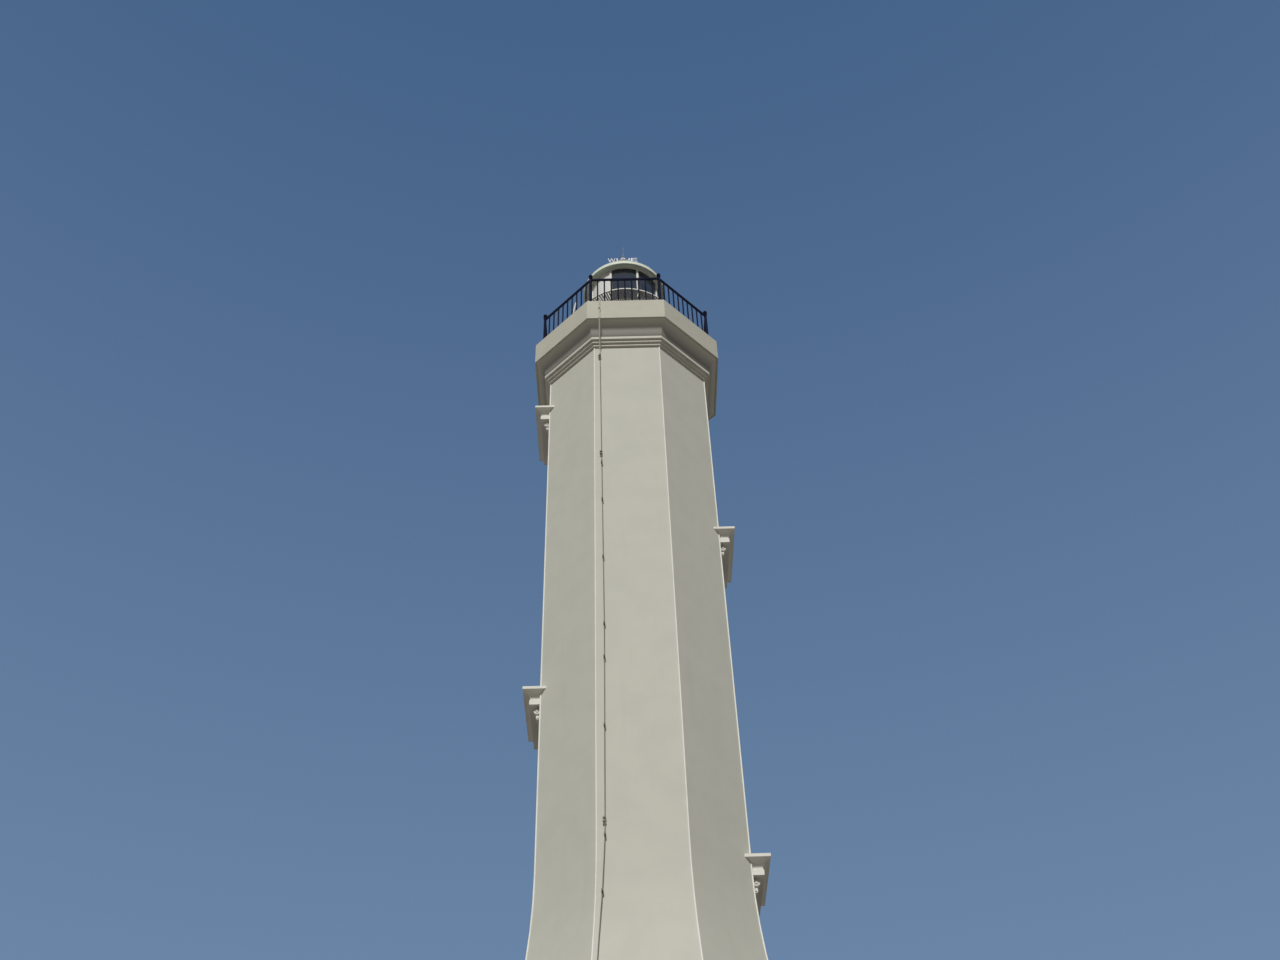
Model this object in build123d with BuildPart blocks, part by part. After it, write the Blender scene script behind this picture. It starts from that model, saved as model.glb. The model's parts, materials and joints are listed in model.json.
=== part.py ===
"""Octagonal white masonry lighthouse with a coved gallery, hooded stair windows and a small round lantern.

Millimetres, +Z up, +Y north, +X east. The origin is the centre of the plinth's underside.
"""

import math
import os

from build123d import *

# Shaft
shaft_apothem = 1900
well_apothem = 1350
shaft_top = 26420
flare_top = 13100
flare_radius = 13000
batter_angle = 8.0

# Plinth, ground floor and entrance
plinth_margin = 160
plinth_height = 540
plinth_chamfer = 60
floor_thickness = 60
step_rise = 180
step_tread = 300
step_width = 1900
door_width = 1000
door_height = 2200
door_recess = 260
door_thickness = 60
door_panel_gap = 110
door_panel_depth = 15

# Stair windows, each under a cornice hood
window_width = 620
window_height = 1100
sash_recess = 180
sash_bar = 55
sash_depth = 60
pane_thickness = 6
hood_drops = (("w", 935), ("e", 5130), ("w", 9320))
low_hood_drops = (("e", -240), ("w", 3850))
hood_weathering = 40
corona_projection = 350
corona_height = 60
drip_step = 18
cavetto_height = 180
cavetto_hollow = 0.3
fascia_projection = 220
fascia_lip = 14
fascia_half_width = 770
fascia_height = 105
console_height = 280
console_scroll = 160
console_width = 130
console_edge = 145
console_projection = 110
console_neck = 75
console_waist = 40
console_lobe = 62
console_foot = 20
window_below_hood = 60

# Gallery
ledge_count = 3
ledge_projection = 50
ledge_height = 74
cove_height = 432
cove_sagitta = 60
cove_lip = 60
deck_apothem = 2300
deck_thickness = 689
rail_inset = 205
rail_height = 1190
rail_bar = 44
rail_rod = 26
rail_bays = 10
bottom_rail_gap = 80
post_side = 56
post_height = 1283
finial_radius = 52
finial_seat = 9

# Lantern
lantern_radius = 1040
lantern_wall_thickness = 150
lantern_lintel = 61
pilaster_projection = 24
lantern_door_width = 620
lantern_door_height = 1680
lantern_door_thickness = 45
catwalk_outer = 1390
catwalk_rim = 32
catwalk_height = 38
catwalk_bar_width = 22
catwalk_bars = 40
catwalk_joint = 2
glazing_radius = 930
glazing_height = 1571
mullion_side = 60
glazing_rail = 60
glass_thickness = 10
blank_thickness = 24
blank_sectors = (4, 5)
eave_radius = 1120
eave_height = 70
eave_lip = 28
eave_groove = 26
eave_bed = 90
dome_height = 500
dome_thickness = 12
neck_radius = 110
neck_height = 90
ball_radius = 160

# Wind vane
mast_radius = 18
mast_height = 875
mast_flange = 40
arm_height = 775
arm_reach = 190
arm_radius = 9
hub_radius = 72
hub_height = 110
hub_chamfer = 25
spindle_radius = 8
spindle_height = 60
spindle_clearance = 0.3
sleeve_radius = 26
sleeve_height = 80
pointer_turn = 180
pointer_nose = 80
pointer_tail = 170
pointer_head = 60
pointer_fin = 90
pointer_depth = 80
pointer_bar = 22
pointer_plate = 8

# Lightning conductor
conductor_offset = 650
conductor_radius = 8
conductor_standoff = 40
conductor_drop = 150
conductor_bend = 90
conductor_ease = 5000
conductor_bow = (615, 4690)
conductor_knee = (640, 90)
conductor_turn = (690, -970)
conductor_corner_gap = 90
clip_drops = (360, 4080, 5230, 6880, 8630, 9450, 11010, 13230)
clip_heights = (12130, 10790, 8900, 7000, 5100, 3200, 1300)
clip_side = 34

face_names = ("e", "ne", "n", "nw", "w", "sw", "s", "se")
face_turn = 360 / len(face_names)
corner_turn = face_turn / 2
half_side = math.tan(math.radians(corner_turn))
batter = math.radians(batter_angle)
batter_slope = math.tan(batter)
batter_top = flare_top - flare_radius * math.sin(batter)
batter_top_apothem = shaft_apothem + flare_radius * (1 - math.cos(batter))
foot_apothem = batter_top_apothem + (batter_top - plinth_height) * batter_slope
hood_tops = [(side, shaft_top - drop) for side, drop in hood_drops]
hood_tops += [(side, flare_top - drop) for side, drop in low_hood_drops]
ledges_top = shaft_top + ledge_count * ledge_height
deck_underside = ledges_top + cove_height
deck_top = deck_underside + deck_thickness
rail_apothem = deck_apothem - rail_inset
lantern_wall_height = lantern_door_height + lantern_lintel
catwalk_underside = deck_top + lantern_wall_height
glazing_foot = catwalk_underside + catwalk_height
glazing_top = glazing_foot + glazing_height
eave_top = glazing_top + eave_height
neck_foot = eave_top + dome_height
neck_top = neck_foot + neck_height
ball_centre = neck_top + math.sqrt(ball_radius**2 - neck_radius**2)
mast_foot = ball_centre + math.sqrt(ball_radius**2 - mast_flange**2)
mast_top = mast_foot + mast_height
sleeve_foot = mast_top + spindle_clearance
plinth_apothem = foot_apothem + plinth_margin
wide = 2 * plinth_apothem


def face_apothem(z):
    """Distance from the axis to the shaft's face at a height."""
    if z >= flare_top:
        return shaft_apothem
    if z >= batter_top:
        return shaft_apothem + flare_radius - math.sqrt(flare_radius**2 - (flare_top - z) ** 2)
    return batter_top_apothem + (batter_top - z) * batter_slope


def octagon(apothem):
    """Draws the plan's octagon, with flats to the four cardinal sides."""
    return RegularPolygon(apothem, len(face_names), major_radius=False, rotation=corner_turn)


def save(piece, name):
    """Labels a finished piece and writes it as its own file."""
    piece.label = name
    export_step(piece, f"parts/{name}.step")


def turned(piece, face):
    """The piece turned from the east face to a named face."""
    return piece.rotate(Axis.Z, face_turn * face_names.index(face))


def wedge(low, high):
    """One eighth of the plan, between the mitres beside the east face."""
    with BuildPart() as sector:
        with BuildSketch(Plane.XY.offset(low)):
            Polygon((0, 0), (wide, wide * half_side), (wide, -wide * half_side), align=None)
        extrude(amount=high - low)
    return sector.part


def upper_slab():
    """A plain upper wall on the east face, mitred at its ends."""
    with BuildPart() as slab:
        with BuildSketch(Plane.XZ):
            with Locations(((well_apothem + shaft_apothem) / 2, (flare_top + shaft_top) / 2)):
                Rectangle(shaft_apothem - well_apothem, shaft_top - flare_top)
        extrude(amount=wide, both=True)
        add(wedge(flare_top, shaft_top), mode=Mode.INTERSECT)
    return slab.part


def lower_slab():
    """A plain lower wall on the east face: a curved flare above a straight batter."""
    flare_middle = batter / 2
    with BuildPart() as slab:
        with BuildSketch(Plane.XZ):
            with BuildLine():
                Polyline(
                    (shaft_apothem, flare_top),
                    (well_apothem, flare_top),
                    (well_apothem, plinth_height),
                    (foot_apothem, plinth_height),
                    (batter_top_apothem, batter_top),
                )
                ThreePointArc(
                    (batter_top_apothem, batter_top),
                    (
                        shaft_apothem + flare_radius * (1 - math.cos(flare_middle)),
                        flare_top - flare_radius * math.sin(flare_middle),
                    ),
                    (shaft_apothem, flare_top),
                )
            make_face()
        extrude(amount=wide, both=True)
        add(wedge(plinth_height, flare_top), mode=Mode.INTERSECT)
    return slab.part


def window_head(hood_top):
    """Height of a window opening's head under its hood."""
    return hood_top - corona_height - cavetto_height - fascia_height - window_below_hood


def window_middles(face, low, high):
    """Heights of the window centres of a face between two heights."""
    middles = [window_head(top) - window_height / 2 for side, top in hood_tops if side == face]
    return [middle for middle in middles if low < middle < high]


os.makedirs("parts", exist_ok=True)

plain_upper = upper_slab()
plain_lower = lower_slab()

# Upper walls of the shaft
for face in face_names:
    with BuildPart() as shaft_wall:
        add(plain_upper)
        for middle in window_middles(face, flare_top, shaft_top):
            with BuildSketch(Plane.YZ.offset(well_apothem)):
                with Locations((0, middle)):
                    Rectangle(window_width, window_height)
            extrude(amount=wide, mode=Mode.SUBTRACT)
    save(turned(shaft_wall.part, face), f"shaft_wall_{face}")

# Lower walls, with the doorway in the south one
for face in face_names:
    with BuildPart() as base_wall:
        add(plain_lower)
        for middle in window_middles(face, plinth_height, flare_top):
            with BuildSketch(Plane.YZ.offset(well_apothem)):
                with Locations((0, middle)):
                    Rectangle(window_width, window_height)
            extrude(amount=wide, mode=Mode.SUBTRACT)
        if face == "s":
            with BuildSketch(Plane.YZ.offset(well_apothem)):
                with Locations((0, plinth_height + door_height / 2)):
                    Rectangle(door_width, door_height)
            extrude(amount=wide, mode=Mode.SUBTRACT)
    save(turned(base_wall.part, face), f"base_wall_{face}")

# Plinth, with its top arris chamfered
with BuildPart() as plinth:
    with BuildSketch():
        octagon(plinth_apothem)
    extrude(amount=plinth_height)
    chamfer(plinth.faces().sort_by(Axis.Z)[-1].outer_wire().edges(), plinth_chamfer)
save(plinth.part, "plinth")

with BuildPart() as ground_floor:
    with BuildSketch(Plane.XY.offset(plinth_height)):
        octagon(well_apothem)
    extrude(amount=floor_thickness)
save(ground_floor.part, "ground_floor")

# Entrance steps in front of the plinth
lower_steps = round(plinth_height / step_rise) - 1
with BuildPart() as entrance_steps:
    for step in range(lower_steps):
        run = step_tread * (lower_steps - step)
        with BuildSketch(Plane.XY.offset(step * step_rise)):
            with Locations((0, -plinth_apothem - run / 2)):
                Rectangle(step_width, run)
        extrude(amount=step_rise)
save(entrance_steps.part, "entrance_steps")

# Entrance door, upright in its deep reveal, with six sunk panels
door_face = face_apothem(plinth_height + door_height) - door_recess
door_centre = plinth_height + door_height / 2
panel_width = (door_width - 3 * door_panel_gap) / 2
panel_height = (door_height - 4 * door_panel_gap) / 3
with BuildPart() as entrance_door:
    with BuildSketch(Plane.XZ.offset(door_face - door_thickness)):
        with Locations((0, door_centre)):
            Rectangle(door_width, door_height)
    extrude(amount=door_thickness)
    with BuildSketch(Plane.XZ.offset(door_face)):
        with Locations((0, door_centre)):
            with GridLocations(panel_width + door_panel_gap, panel_height + door_panel_gap, 2, 3):
                Rectangle(panel_width, panel_height)
    extrude(amount=-door_panel_depth, mode=Mode.SUBTRACT)
save(entrance_door.part, "entrance_door")


def moulding(inside, wall, top):
    """A hood's section, from an inner line past a wall line, and down from a height."""
    corona_foot = top - corona_height
    fascia_top = corona_foot - cavetto_height
    fascia_foot = fascia_top - fascia_height
    cavetto_start = wall + corona_projection - drip_step
    cavetto_end = wall + fascia_projection - fascia_lip
    with BuildSketch() as section:
        with BuildLine():
            Polyline(
                (inside, top + hood_weathering),
                (wall, top + hood_weathering),
                (wall + corona_projection, top),
                (wall + corona_projection, corona_foot),
                (cavetto_start, corona_foot),
            )
            ThreePointArc(
                (cavetto_start, corona_foot),
                (
                    cavetto_end + (cavetto_start - cavetto_end) * cavetto_hollow,
                    corona_foot - cavetto_height * cavetto_hollow,
                ),
                (cavetto_end, fascia_top),
            )
            Polyline(
                (cavetto_end, fascia_top),
                (wall + fascia_projection, fascia_top),
                (wall + fascia_projection, fascia_foot),
                (inside, fascia_foot),
                (inside, top + hood_weathering),
            )
        make_face()
    return section.sketch


def console(wall, top):
    """The side of a scrolled bracket: a large lobe over a smaller one, with a waist between."""
    waist = top - console_scroll
    foot = top - console_height
    with BuildSketch() as section:
        with BuildLine():
            Line((wall - console_projection, top), (wall + console_neck, top))
            ThreePointArc(
                (wall + console_neck, top),
                (wall + console_projection, (top + waist) / 2),
                (wall + console_waist, waist),
            )
            ThreePointArc(
                (wall + console_waist, waist),
                (wall + console_lobe, (waist + foot) / 2),
                (wall + console_foot, foot),
            )
            Polyline(
                (wall + console_foot, foot),
                (wall - console_projection, foot),
                (wall - console_projection, top),
            )
        make_face()
    return section.sketch


# Hoods: a mitred cornice across the face, dying into the faces beside it, on two scrolled consoles
console_shift = fascia_half_width - console_edge - console_width / 2
for number, (side, hood_top) in enumerate(hood_tops, 1):
    fascia_foot = hood_top - corona_height - cavetto_height - fascia_height
    wall = face_apothem(hood_top)
    console_wall = face_apothem(fascia_foot - console_height)
    with BuildPart() as window_hood:
        with BuildSketch(Plane.XZ):
            add(moulding(wall - fascia_projection, wall, hood_top))
        extrude(amount=wide, both=True)
        with BuildSketch(Plane.YZ):
            add(moulding(0, fascia_half_width - fascia_projection, hood_top))
            mirror(about=Plane.YZ)
        extrude(amount=wide, mode=Mode.INTERSECT)
        for shift in (-console_shift, console_shift):
            with BuildSketch(Plane.XZ.offset(shift - console_width / 2)):
                add(console(console_wall, fascia_foot))
            extrude(amount=console_width)
        for turn in (-face_turn, 0, face_turn):
            add(plain_upper.rotate(Axis.Z, turn), mode=Mode.SUBTRACT)
            add(plain_lower.rotate(Axis.Z, turn), mode=Mode.SUBTRACT)
    save(turned(window_hood.part, side), f"window_hood_{number}")


def sash(hood_top):
    """A timber sash with one transom, in a window opening of the east face."""
    middle = window_head(hood_top) - window_height / 2
    back = face_apothem(window_head(hood_top)) - sash_recess - sash_depth
    light_height = (window_height - 3 * sash_bar) / 2
    with BuildPart() as frame:
        with BuildSketch(Plane.YZ.offset(back)):
            with Locations((0, middle)):
                Rectangle(window_width, window_height)
                with GridLocations(0, light_height + sash_bar, 1, 2):
                    Rectangle(window_width - 2 * sash_bar, light_height, mode=Mode.SUBTRACT)
        extrude(amount=sash_depth)
    return frame.part


def sash_panes(hood_top):
    """The two panes of a sash, filling its lights."""
    middle = window_head(hood_top) - window_height / 2
    back = face_apothem(window_head(hood_top)) - sash_recess - sash_depth / 2
    light_height = (window_height - 3 * sash_bar) / 2
    with BuildPart() as panes:
        with BuildSketch(Plane.YZ.offset(back)):
            with Locations((0, middle)):
                with GridLocations(0, light_height + sash_bar, 1, 2):
                    Rectangle(window_width - 2 * sash_bar, light_height)
        extrude(amount=pane_thickness)
    return panes.part


with BuildPart() as window_sashes:
    for side, hood_top in hood_tops:
        add(turned(sash(hood_top), side))
save(window_sashes.part, "window_sashes")

with BuildPart() as window_panes:
    for side, hood_top in hood_tops:
        add(turned(sash_panes(hood_top), side))
save(window_panes.part, "window_panes")


def cornice_eighth():
    """The gallery cornice over the east face: stepped ledges under a deep cove."""
    cove_foot_apothem = shaft_apothem + ledge_count * ledge_projection
    cove_top_apothem = deck_apothem - cove_lip
    ledge_points = [(well_apothem, shaft_top)]
    for ledge in range(ledge_count):
        foot = shaft_top + ledge * ledge_height
        face_line = shaft_apothem + (ledge + 1) * ledge_projection
        ledge_points += [(face_line, foot), (face_line, foot + ledge_height)]
    with BuildPart() as eighth:
        with BuildSketch(Plane.XZ):
            with BuildLine():
                Polyline(*ledge_points)
                cove_foot = (cove_foot_apothem, ledges_top)
                cove_top = (cove_top_apothem, deck_underside)
                SagittaArc(cove_foot, cove_top, cove_sagitta)
                Polyline(cove_top, (well_apothem, deck_underside), (well_apothem, shaft_top))
            make_face()
        extrude(amount=wide, both=True)
        add(wedge(shaft_top, deck_underside), mode=Mode.INTERSECT)
    return eighth.part


cornice_side = cornice_eighth()
with BuildPart() as gallery_cornice:
    for face in face_names:
        add(turned(cornice_side, face))
save(gallery_cornice.part, "gallery_cornice")

with BuildPart() as gallery_deck:
    with BuildSketch(Plane.XY.offset(deck_underside)):
        octagon(deck_apothem)
    extrude(amount=deck_thickness)
save(gallery_deck.part, "gallery_deck")

# Railing: a post with a ball finial at each corner of the gallery
corner_radius = rail_apothem / math.cos(math.radians(corner_turn))
ball_height = deck_top + post_height + finial_radius - finial_seat
with BuildPart() as railing_post:
    with BuildSketch(Plane.XY.offset(deck_top)):
        with Locations((corner_radius, 0)):
            Rectangle(post_side, post_side)
    extrude(amount=post_height)
    with Locations((corner_radius, 0, ball_height)):
        Sphere(finial_radius)
with BuildPart() as railing_posts:
    for corner in range(len(face_names)):
        add(railing_post.part.rotate(Axis.Z, face_turn * corner + corner_turn))
save(railing_posts.part, "railing_posts")

# Railing panels: a top and a bottom rail with square rods between two posts
rail_run = 2 * rail_apothem * half_side
rod_pitch = rail_run / rail_bays
rod_foot = deck_top + bottom_rail_gap
rod_top = deck_top + rail_height
with BuildPart() as rail_panel:
    with BuildSketch(Plane.YZ.offset(rail_apothem - rail_bar / 2)):
        with Locations((0, rod_foot + rail_bar / 2), (0, rod_top - rail_bar / 2)):
            Rectangle(rail_run, rail_bar)
    extrude(amount=rail_bar)
    with BuildSketch(Plane.XY.offset(rod_foot)):
        with Locations((rail_apothem, 0)):
            with GridLocations(0, rod_pitch, 1, rail_bays - 1):
                Rectangle(rail_rod, rail_rod)
    extrude(amount=rod_top - rod_foot - rail_bar / 2)
    for turn in (-corner_turn, corner_turn):
        add(railing_post.part.rotate(Axis.Z, turn), mode=Mode.SUBTRACT)
for face in face_names:
    save(turned(rail_panel.part, face), f"rail_panel_{face}")

# Lantern wall, with a pilaster under each mullion and its doorway to the north
with BuildPart() as lantern_wall:
    with BuildSketch(Plane.XY.offset(deck_top)):
        Circle(lantern_radius)
        with PolarLocations(lantern_radius, len(face_names), start_angle=corner_turn):
            Rectangle(2 * pilaster_projection, mullion_side)
        Circle(lantern_radius - lantern_wall_thickness, mode=Mode.SUBTRACT)
    extrude(amount=glazing_foot - deck_top)
    with BuildSketch(Plane.XZ):
        with Locations((0, deck_top + lantern_door_height / 2)):
            Rectangle(lantern_door_width, lantern_door_height)
    extrude(amount=-wide, mode=Mode.SUBTRACT)
save(lantern_wall.part, "lantern_wall")

lantern_door_back = math.sqrt((lantern_radius - lantern_wall_thickness) ** 2 - (lantern_door_width / 2) ** 2)
with BuildPart() as lantern_door:
    with BuildSketch(Plane.XZ.offset(-lantern_door_back)):
        with Locations((0, deck_top + lantern_door_height / 2)):
            Rectangle(lantern_door_width, lantern_door_height)
    extrude(amount=-lantern_door_thickness)
save(lantern_door.part, "lantern_door")

# Catwalk: eight rim lengths on radial bars, with a narrow joint between lengths
with BuildPart() as catwalk:
    with BuildSketch(Plane.XY.offset(catwalk_underside)):
        Circle(catwalk_outer)
        Circle(catwalk_outer - catwalk_rim, mode=Mode.SUBTRACT)
        with PolarLocations(catwalk_outer, len(face_names), start_angle=corner_turn):
            Rectangle(catwalk_rim * 3, catwalk_joint, mode=Mode.SUBTRACT)
        with PolarLocations((catwalk_outer - catwalk_rim + lantern_radius) / 2, catwalk_bars):
            Rectangle(catwalk_outer - lantern_radius, catwalk_bar_width)
        Circle(lantern_radius, mode=Mode.SUBTRACT)
    extrude(amount=catwalk_height)
save(catwalk.part, "catwalk")

# Glazing frame: eight mullions, with the sill and head in lengths between them
with BuildPart() as lantern_mullions:
    with BuildSketch(Plane.XY.offset(glazing_foot)):
        with PolarLocations(glazing_radius, len(face_names), start_angle=corner_turn):
            Rectangle(mullion_side, mullion_side)
    extrude(amount=glazing_height)
save(lantern_mullions.part, "lantern_mullions")


def glazing_ring(thickness, foot, height):
    """What closes the glazing between the mullions: a ring on the glazing's radius, cut at each mullion."""
    with BuildPart() as ring:
        with BuildSketch(Plane.XY.offset(foot)):
            Circle(glazing_radius + thickness / 2)
            Circle(glazing_radius - thickness / 2, mode=Mode.SUBTRACT)
            with PolarLocations(glazing_radius, len(face_names), start_angle=corner_turn):
                Rectangle(mullion_side * 2, mullion_side, mode=Mode.SUBTRACT)
        extrude(amount=height)
    return ring.part


with BuildPart() as lantern_sill:
    add(glazing_ring(mullion_side, glazing_foot, glazing_rail))
save(lantern_sill.part, "lantern_sill")

with BuildPart() as lantern_head:
    add(glazing_ring(mullion_side, glazing_top - glazing_rail, glazing_rail))
save(lantern_head.part, "lantern_head")


def glazing_panel(thickness):
    """One curved panel between two mullions, on the east side."""
    with BuildPart() as panel:
        add(glazing_ring(thickness, glazing_foot + glazing_rail, glazing_height - 2 * glazing_rail))
        add(wedge(glazing_foot, glazing_top), mode=Mode.INTERSECT)
    return panel.part


glass_panel = glazing_panel(glass_thickness)
blank_panel = glazing_panel(blank_thickness)
with BuildPart() as lantern_glass:
    for sector in range(len(face_names)):
        if sector not in blank_sectors:
            add(glass_panel.rotate(Axis.Z, face_turn * sector))
save(lantern_glass.part, "lantern_glass")

with BuildPart() as blank_panels:
    for sector in blank_sectors:
        add(blank_panel.rotate(Axis.Z, face_turn * sector))
save(blank_panels.part, "blank_panels")

# Roof: a lipped eave ring under a thin dome with a neck
dome_foot_radius = eave_radius - eave_height
dome_drop = (dome_foot_radius**2 - neck_radius**2 - dome_height**2) / (2 * dome_height)
dome_outer = math.hypot(dome_foot_radius, dome_drop)
roof_inner_radius = glazing_radius - mullion_side / 2


def dome_point(radius, reach):
    """The point of a dome's section on a sphere of some radius, at a distance from the axis."""
    return (reach, eave_top - dome_drop + math.sqrt(radius**2 - reach**2))


with BuildPart() as lantern_roof:
    with BuildSketch(Plane.XZ):
        with BuildLine():
            Polyline((0, neck_top), (neck_radius, neck_top), (neck_radius, neck_foot))
            ThreePointArc(
                (neck_radius, neck_foot),
                dome_point(dome_outer, dome_foot_radius / 2),
                (dome_foot_radius, eave_top),
            )
            Polyline(
                (dome_foot_radius, eave_top),
                (eave_radius, eave_top),
                (eave_radius, glazing_top),
                (eave_radius - eave_lip, glazing_top),
                (eave_radius - eave_lip, glazing_top + eave_groove),
                (roof_inner_radius + eave_bed, glazing_top + eave_groove),
                (roof_inner_radius + eave_bed, glazing_top),
                (roof_inner_radius, glazing_top),
                dome_point(dome_outer - dome_thickness, roof_inner_radius),
            )
            ThreePointArc(
                dome_point(dome_outer - dome_thickness, roof_inner_radius),
                dome_point(dome_outer - dome_thickness, roof_inner_radius / 2),
                dome_point(dome_outer - dome_thickness, 0),
            )
            Line(dome_point(dome_outer - dome_thickness, 0), (0, neck_top))
        make_face()
    revolve(axis=Axis.Z)
save(lantern_roof.part, "lantern_roof")

with BuildPart() as vent_ball:
    with Locations((0, 0, ball_centre)):
        Sphere(ball_radius)
    with BuildSketch(Plane.XY.offset(neck_top)):
        Circle(ball_radius)
    extrude(amount=mast_foot - neck_top, mode=Mode.INTERSECT)
save(vent_ball.part, "vent_ball")

# Wind vane: a mast with a drum, four arms and a spindle, and the pointer that turns on it
with BuildPart() as vane_mast:
    with BuildSketch(Plane.XY.offset(mast_foot)):
        Circle(mast_radius)
    extrude(amount=mast_height)
    with BuildSketch(Plane.XY.offset(mast_top)):
        Circle(spindle_radius)
    extrude(amount=spindle_height)
    with BuildSketch(Plane.XZ) as hub:
        with Locations((hub_radius / 2, mast_foot + arm_height)):
            Rectangle(hub_radius, hub_height)
        chamfer(hub.vertices().group_by(Axis.X)[-1], hub_chamfer)
    revolve(axis=Axis.Z)
    for plane in (Plane.XZ, Plane.YZ):
        with BuildSketch(plane):
            with Locations((0, mast_foot + arm_height)):
                Circle(arm_radius)
        extrude(amount=arm_reach, both=True)
save(vane_mast.part, "vane_mast")

with BuildPart() as vane_pointer:
    bar_height = sleeve_foot + sleeve_height / 2
    with BuildSketch(Plane.YZ.offset(-pointer_plate / 2)):
        with BuildLine():
            Polyline(
                (pointer_nose, bar_height),
                (pointer_nose - pointer_head, bar_height + pointer_depth / 2),
                (pointer_nose - pointer_head, bar_height + pointer_bar / 2),
                (pointer_bar - pointer_tail + pointer_fin, bar_height + pointer_bar / 2),
                (-pointer_tail + pointer_fin - pointer_bar, bar_height + pointer_depth / 2),
                (-pointer_tail, bar_height + pointer_depth / 2),
                (-pointer_tail + pointer_bar, bar_height),
                (-pointer_tail, bar_height - pointer_depth / 2),
                (-pointer_tail + pointer_fin - pointer_bar, bar_height - pointer_depth / 2),
                (pointer_bar - pointer_tail + pointer_fin, bar_height - pointer_bar / 2),
                (pointer_nose - pointer_head, bar_height - pointer_bar / 2),
                (pointer_nose - pointer_head, bar_height - pointer_depth / 2),
                close=True,
            )
        make_face()
    extrude(amount=pointer_plate)
    with BuildSketch(Plane.XY.offset(sleeve_foot)):
        Circle(sleeve_radius)
    extrude(amount=sleeve_height)
    with BuildSketch(Plane.XY.offset(sleeve_foot)):
        Circle(spindle_radius + spindle_clearance)
    extrude(amount=spindle_height, mode=Mode.SUBTRACT)
save(vane_pointer.part.rotate(Axis.Z, pointer_turn), "vane_pointer")

# Lightning conductor: a round wire from the railing down the south face, held off it by clips
def conductor_point(offset, height):
    """A point of the wire beside the south face, at a distance west of the middle."""
    return (-offset, -face_apothem(height) - conductor_standoff, height)


rail_axis = deck_top + bottom_rail_gap + rail_bar / 2
deck_wire = -deck_apothem - conductor_standoff
wire_points = [
    (-conductor_offset, -rail_apothem - rail_bar / 2, rail_axis),
    (-conductor_offset, deck_wire, rail_axis),
    (-conductor_offset, deck_wire, deck_underside - conductor_standoff),
    conductor_point(conductor_offset, shaft_top - conductor_drop),
    *(conductor_point(offset, flare_top + rise) for offset, rise in (conductor_bow, conductor_knee, conductor_turn)),
    conductor_point(batter_top_apothem * half_side - conductor_corner_gap, batter_top),
    conductor_point(foot_apothem * half_side - conductor_corner_gap, plinth_height),
]


def wire_at(height):
    """Where the wire's straight runs cross a height on the wall."""
    for upper, lower in zip(wire_points, wire_points[1:]):
        if lower[2] <= height <= upper[2] and lower[2] < shaft_top:
            share = (upper[2] - height) / (upper[2] - lower[2])
            return (upper[0] + share * (lower[0] - upper[0]), upper[1] + share * (lower[1] - upper[1]), height)


with BuildPart() as lightning_conductor:
    with BuildLine() as route:
        FilletPolyline(*wire_points, radius=[conductor_bend] * 3 + [conductor_ease] * 4)
    with BuildSketch(Plane(route.line @ 0, z_dir=route.line % 0)):
        Circle(conductor_radius)
    sweep()
    for height in (*(shaft_top - drop for drop in clip_drops), *clip_heights):
        with Locations(wire_at(height)):
            Box(clip_side, 3 * conductor_standoff, clip_side)
    with Locations((-conductor_offset, deck_wire, deck_underside + deck_thickness / 2)):
        Box(clip_side, 2 * conductor_standoff, clip_side)
    with BuildSketch(Plane.XY.offset(deck_underside)):
        octagon(deck_apothem)
    extrude(amount=deck_thickness, mode=Mode.SUBTRACT)
    with BuildSketch():
        octagon(plinth_apothem)
    extrude(amount=plinth_height, mode=Mode.SUBTRACT)
    south_turn = face_turn * face_names.index("s")
    add(plain_upper.rotate(Axis.Z, south_turn), mode=Mode.SUBTRACT)
    add(plain_lower.rotate(Axis.Z, south_turn), mode=Mode.SUBTRACT)
save(lightning_conductor.part, "lightning_conductor")
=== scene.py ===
"""Dresses the octagonal lighthouse: its plaster, mouldings, ironwork, lantern, vane and entrance."""

import json
import logging
import math
from dataclasses import dataclass, field
from enum import Enum
from typing import Iterable, Optional, Sequence

import bmesh
import bpy
from mathutils import Matrix, Vector


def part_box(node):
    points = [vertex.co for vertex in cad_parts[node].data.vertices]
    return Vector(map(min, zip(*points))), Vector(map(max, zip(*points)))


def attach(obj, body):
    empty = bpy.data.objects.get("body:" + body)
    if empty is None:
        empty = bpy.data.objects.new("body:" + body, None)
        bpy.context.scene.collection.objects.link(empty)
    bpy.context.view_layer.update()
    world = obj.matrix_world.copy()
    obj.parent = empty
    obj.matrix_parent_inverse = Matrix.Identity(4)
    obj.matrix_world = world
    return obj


SIDES = 8
SECTOR = math.tau / SIDES
QUARTER = math.pi / 2
X, Y, Z = range(3)
TOWER = "tower"
VANE = "vane"
SMOOTH_ANGLE = math.radians(38)

Colour = tuple[float, float, float]
Point = tuple[float, float, float]
Outline = Sequence[tuple[float, float]]
Socket = bpy.types.NodeSocket

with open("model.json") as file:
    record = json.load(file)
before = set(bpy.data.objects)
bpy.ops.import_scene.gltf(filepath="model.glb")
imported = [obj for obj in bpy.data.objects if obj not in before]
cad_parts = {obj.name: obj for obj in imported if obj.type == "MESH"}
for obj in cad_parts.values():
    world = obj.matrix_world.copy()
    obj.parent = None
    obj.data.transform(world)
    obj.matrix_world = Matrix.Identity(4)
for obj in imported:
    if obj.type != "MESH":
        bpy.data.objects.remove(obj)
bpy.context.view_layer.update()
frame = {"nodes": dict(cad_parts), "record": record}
log = logging.getLogger("lighthouse")


def low(node: str) -> Vector:
    """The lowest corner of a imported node."""
    return Vector(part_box(node)[0])


def high(node: str) -> Vector:
    """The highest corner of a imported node."""
    return Vector(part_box(node)[1])


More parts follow.
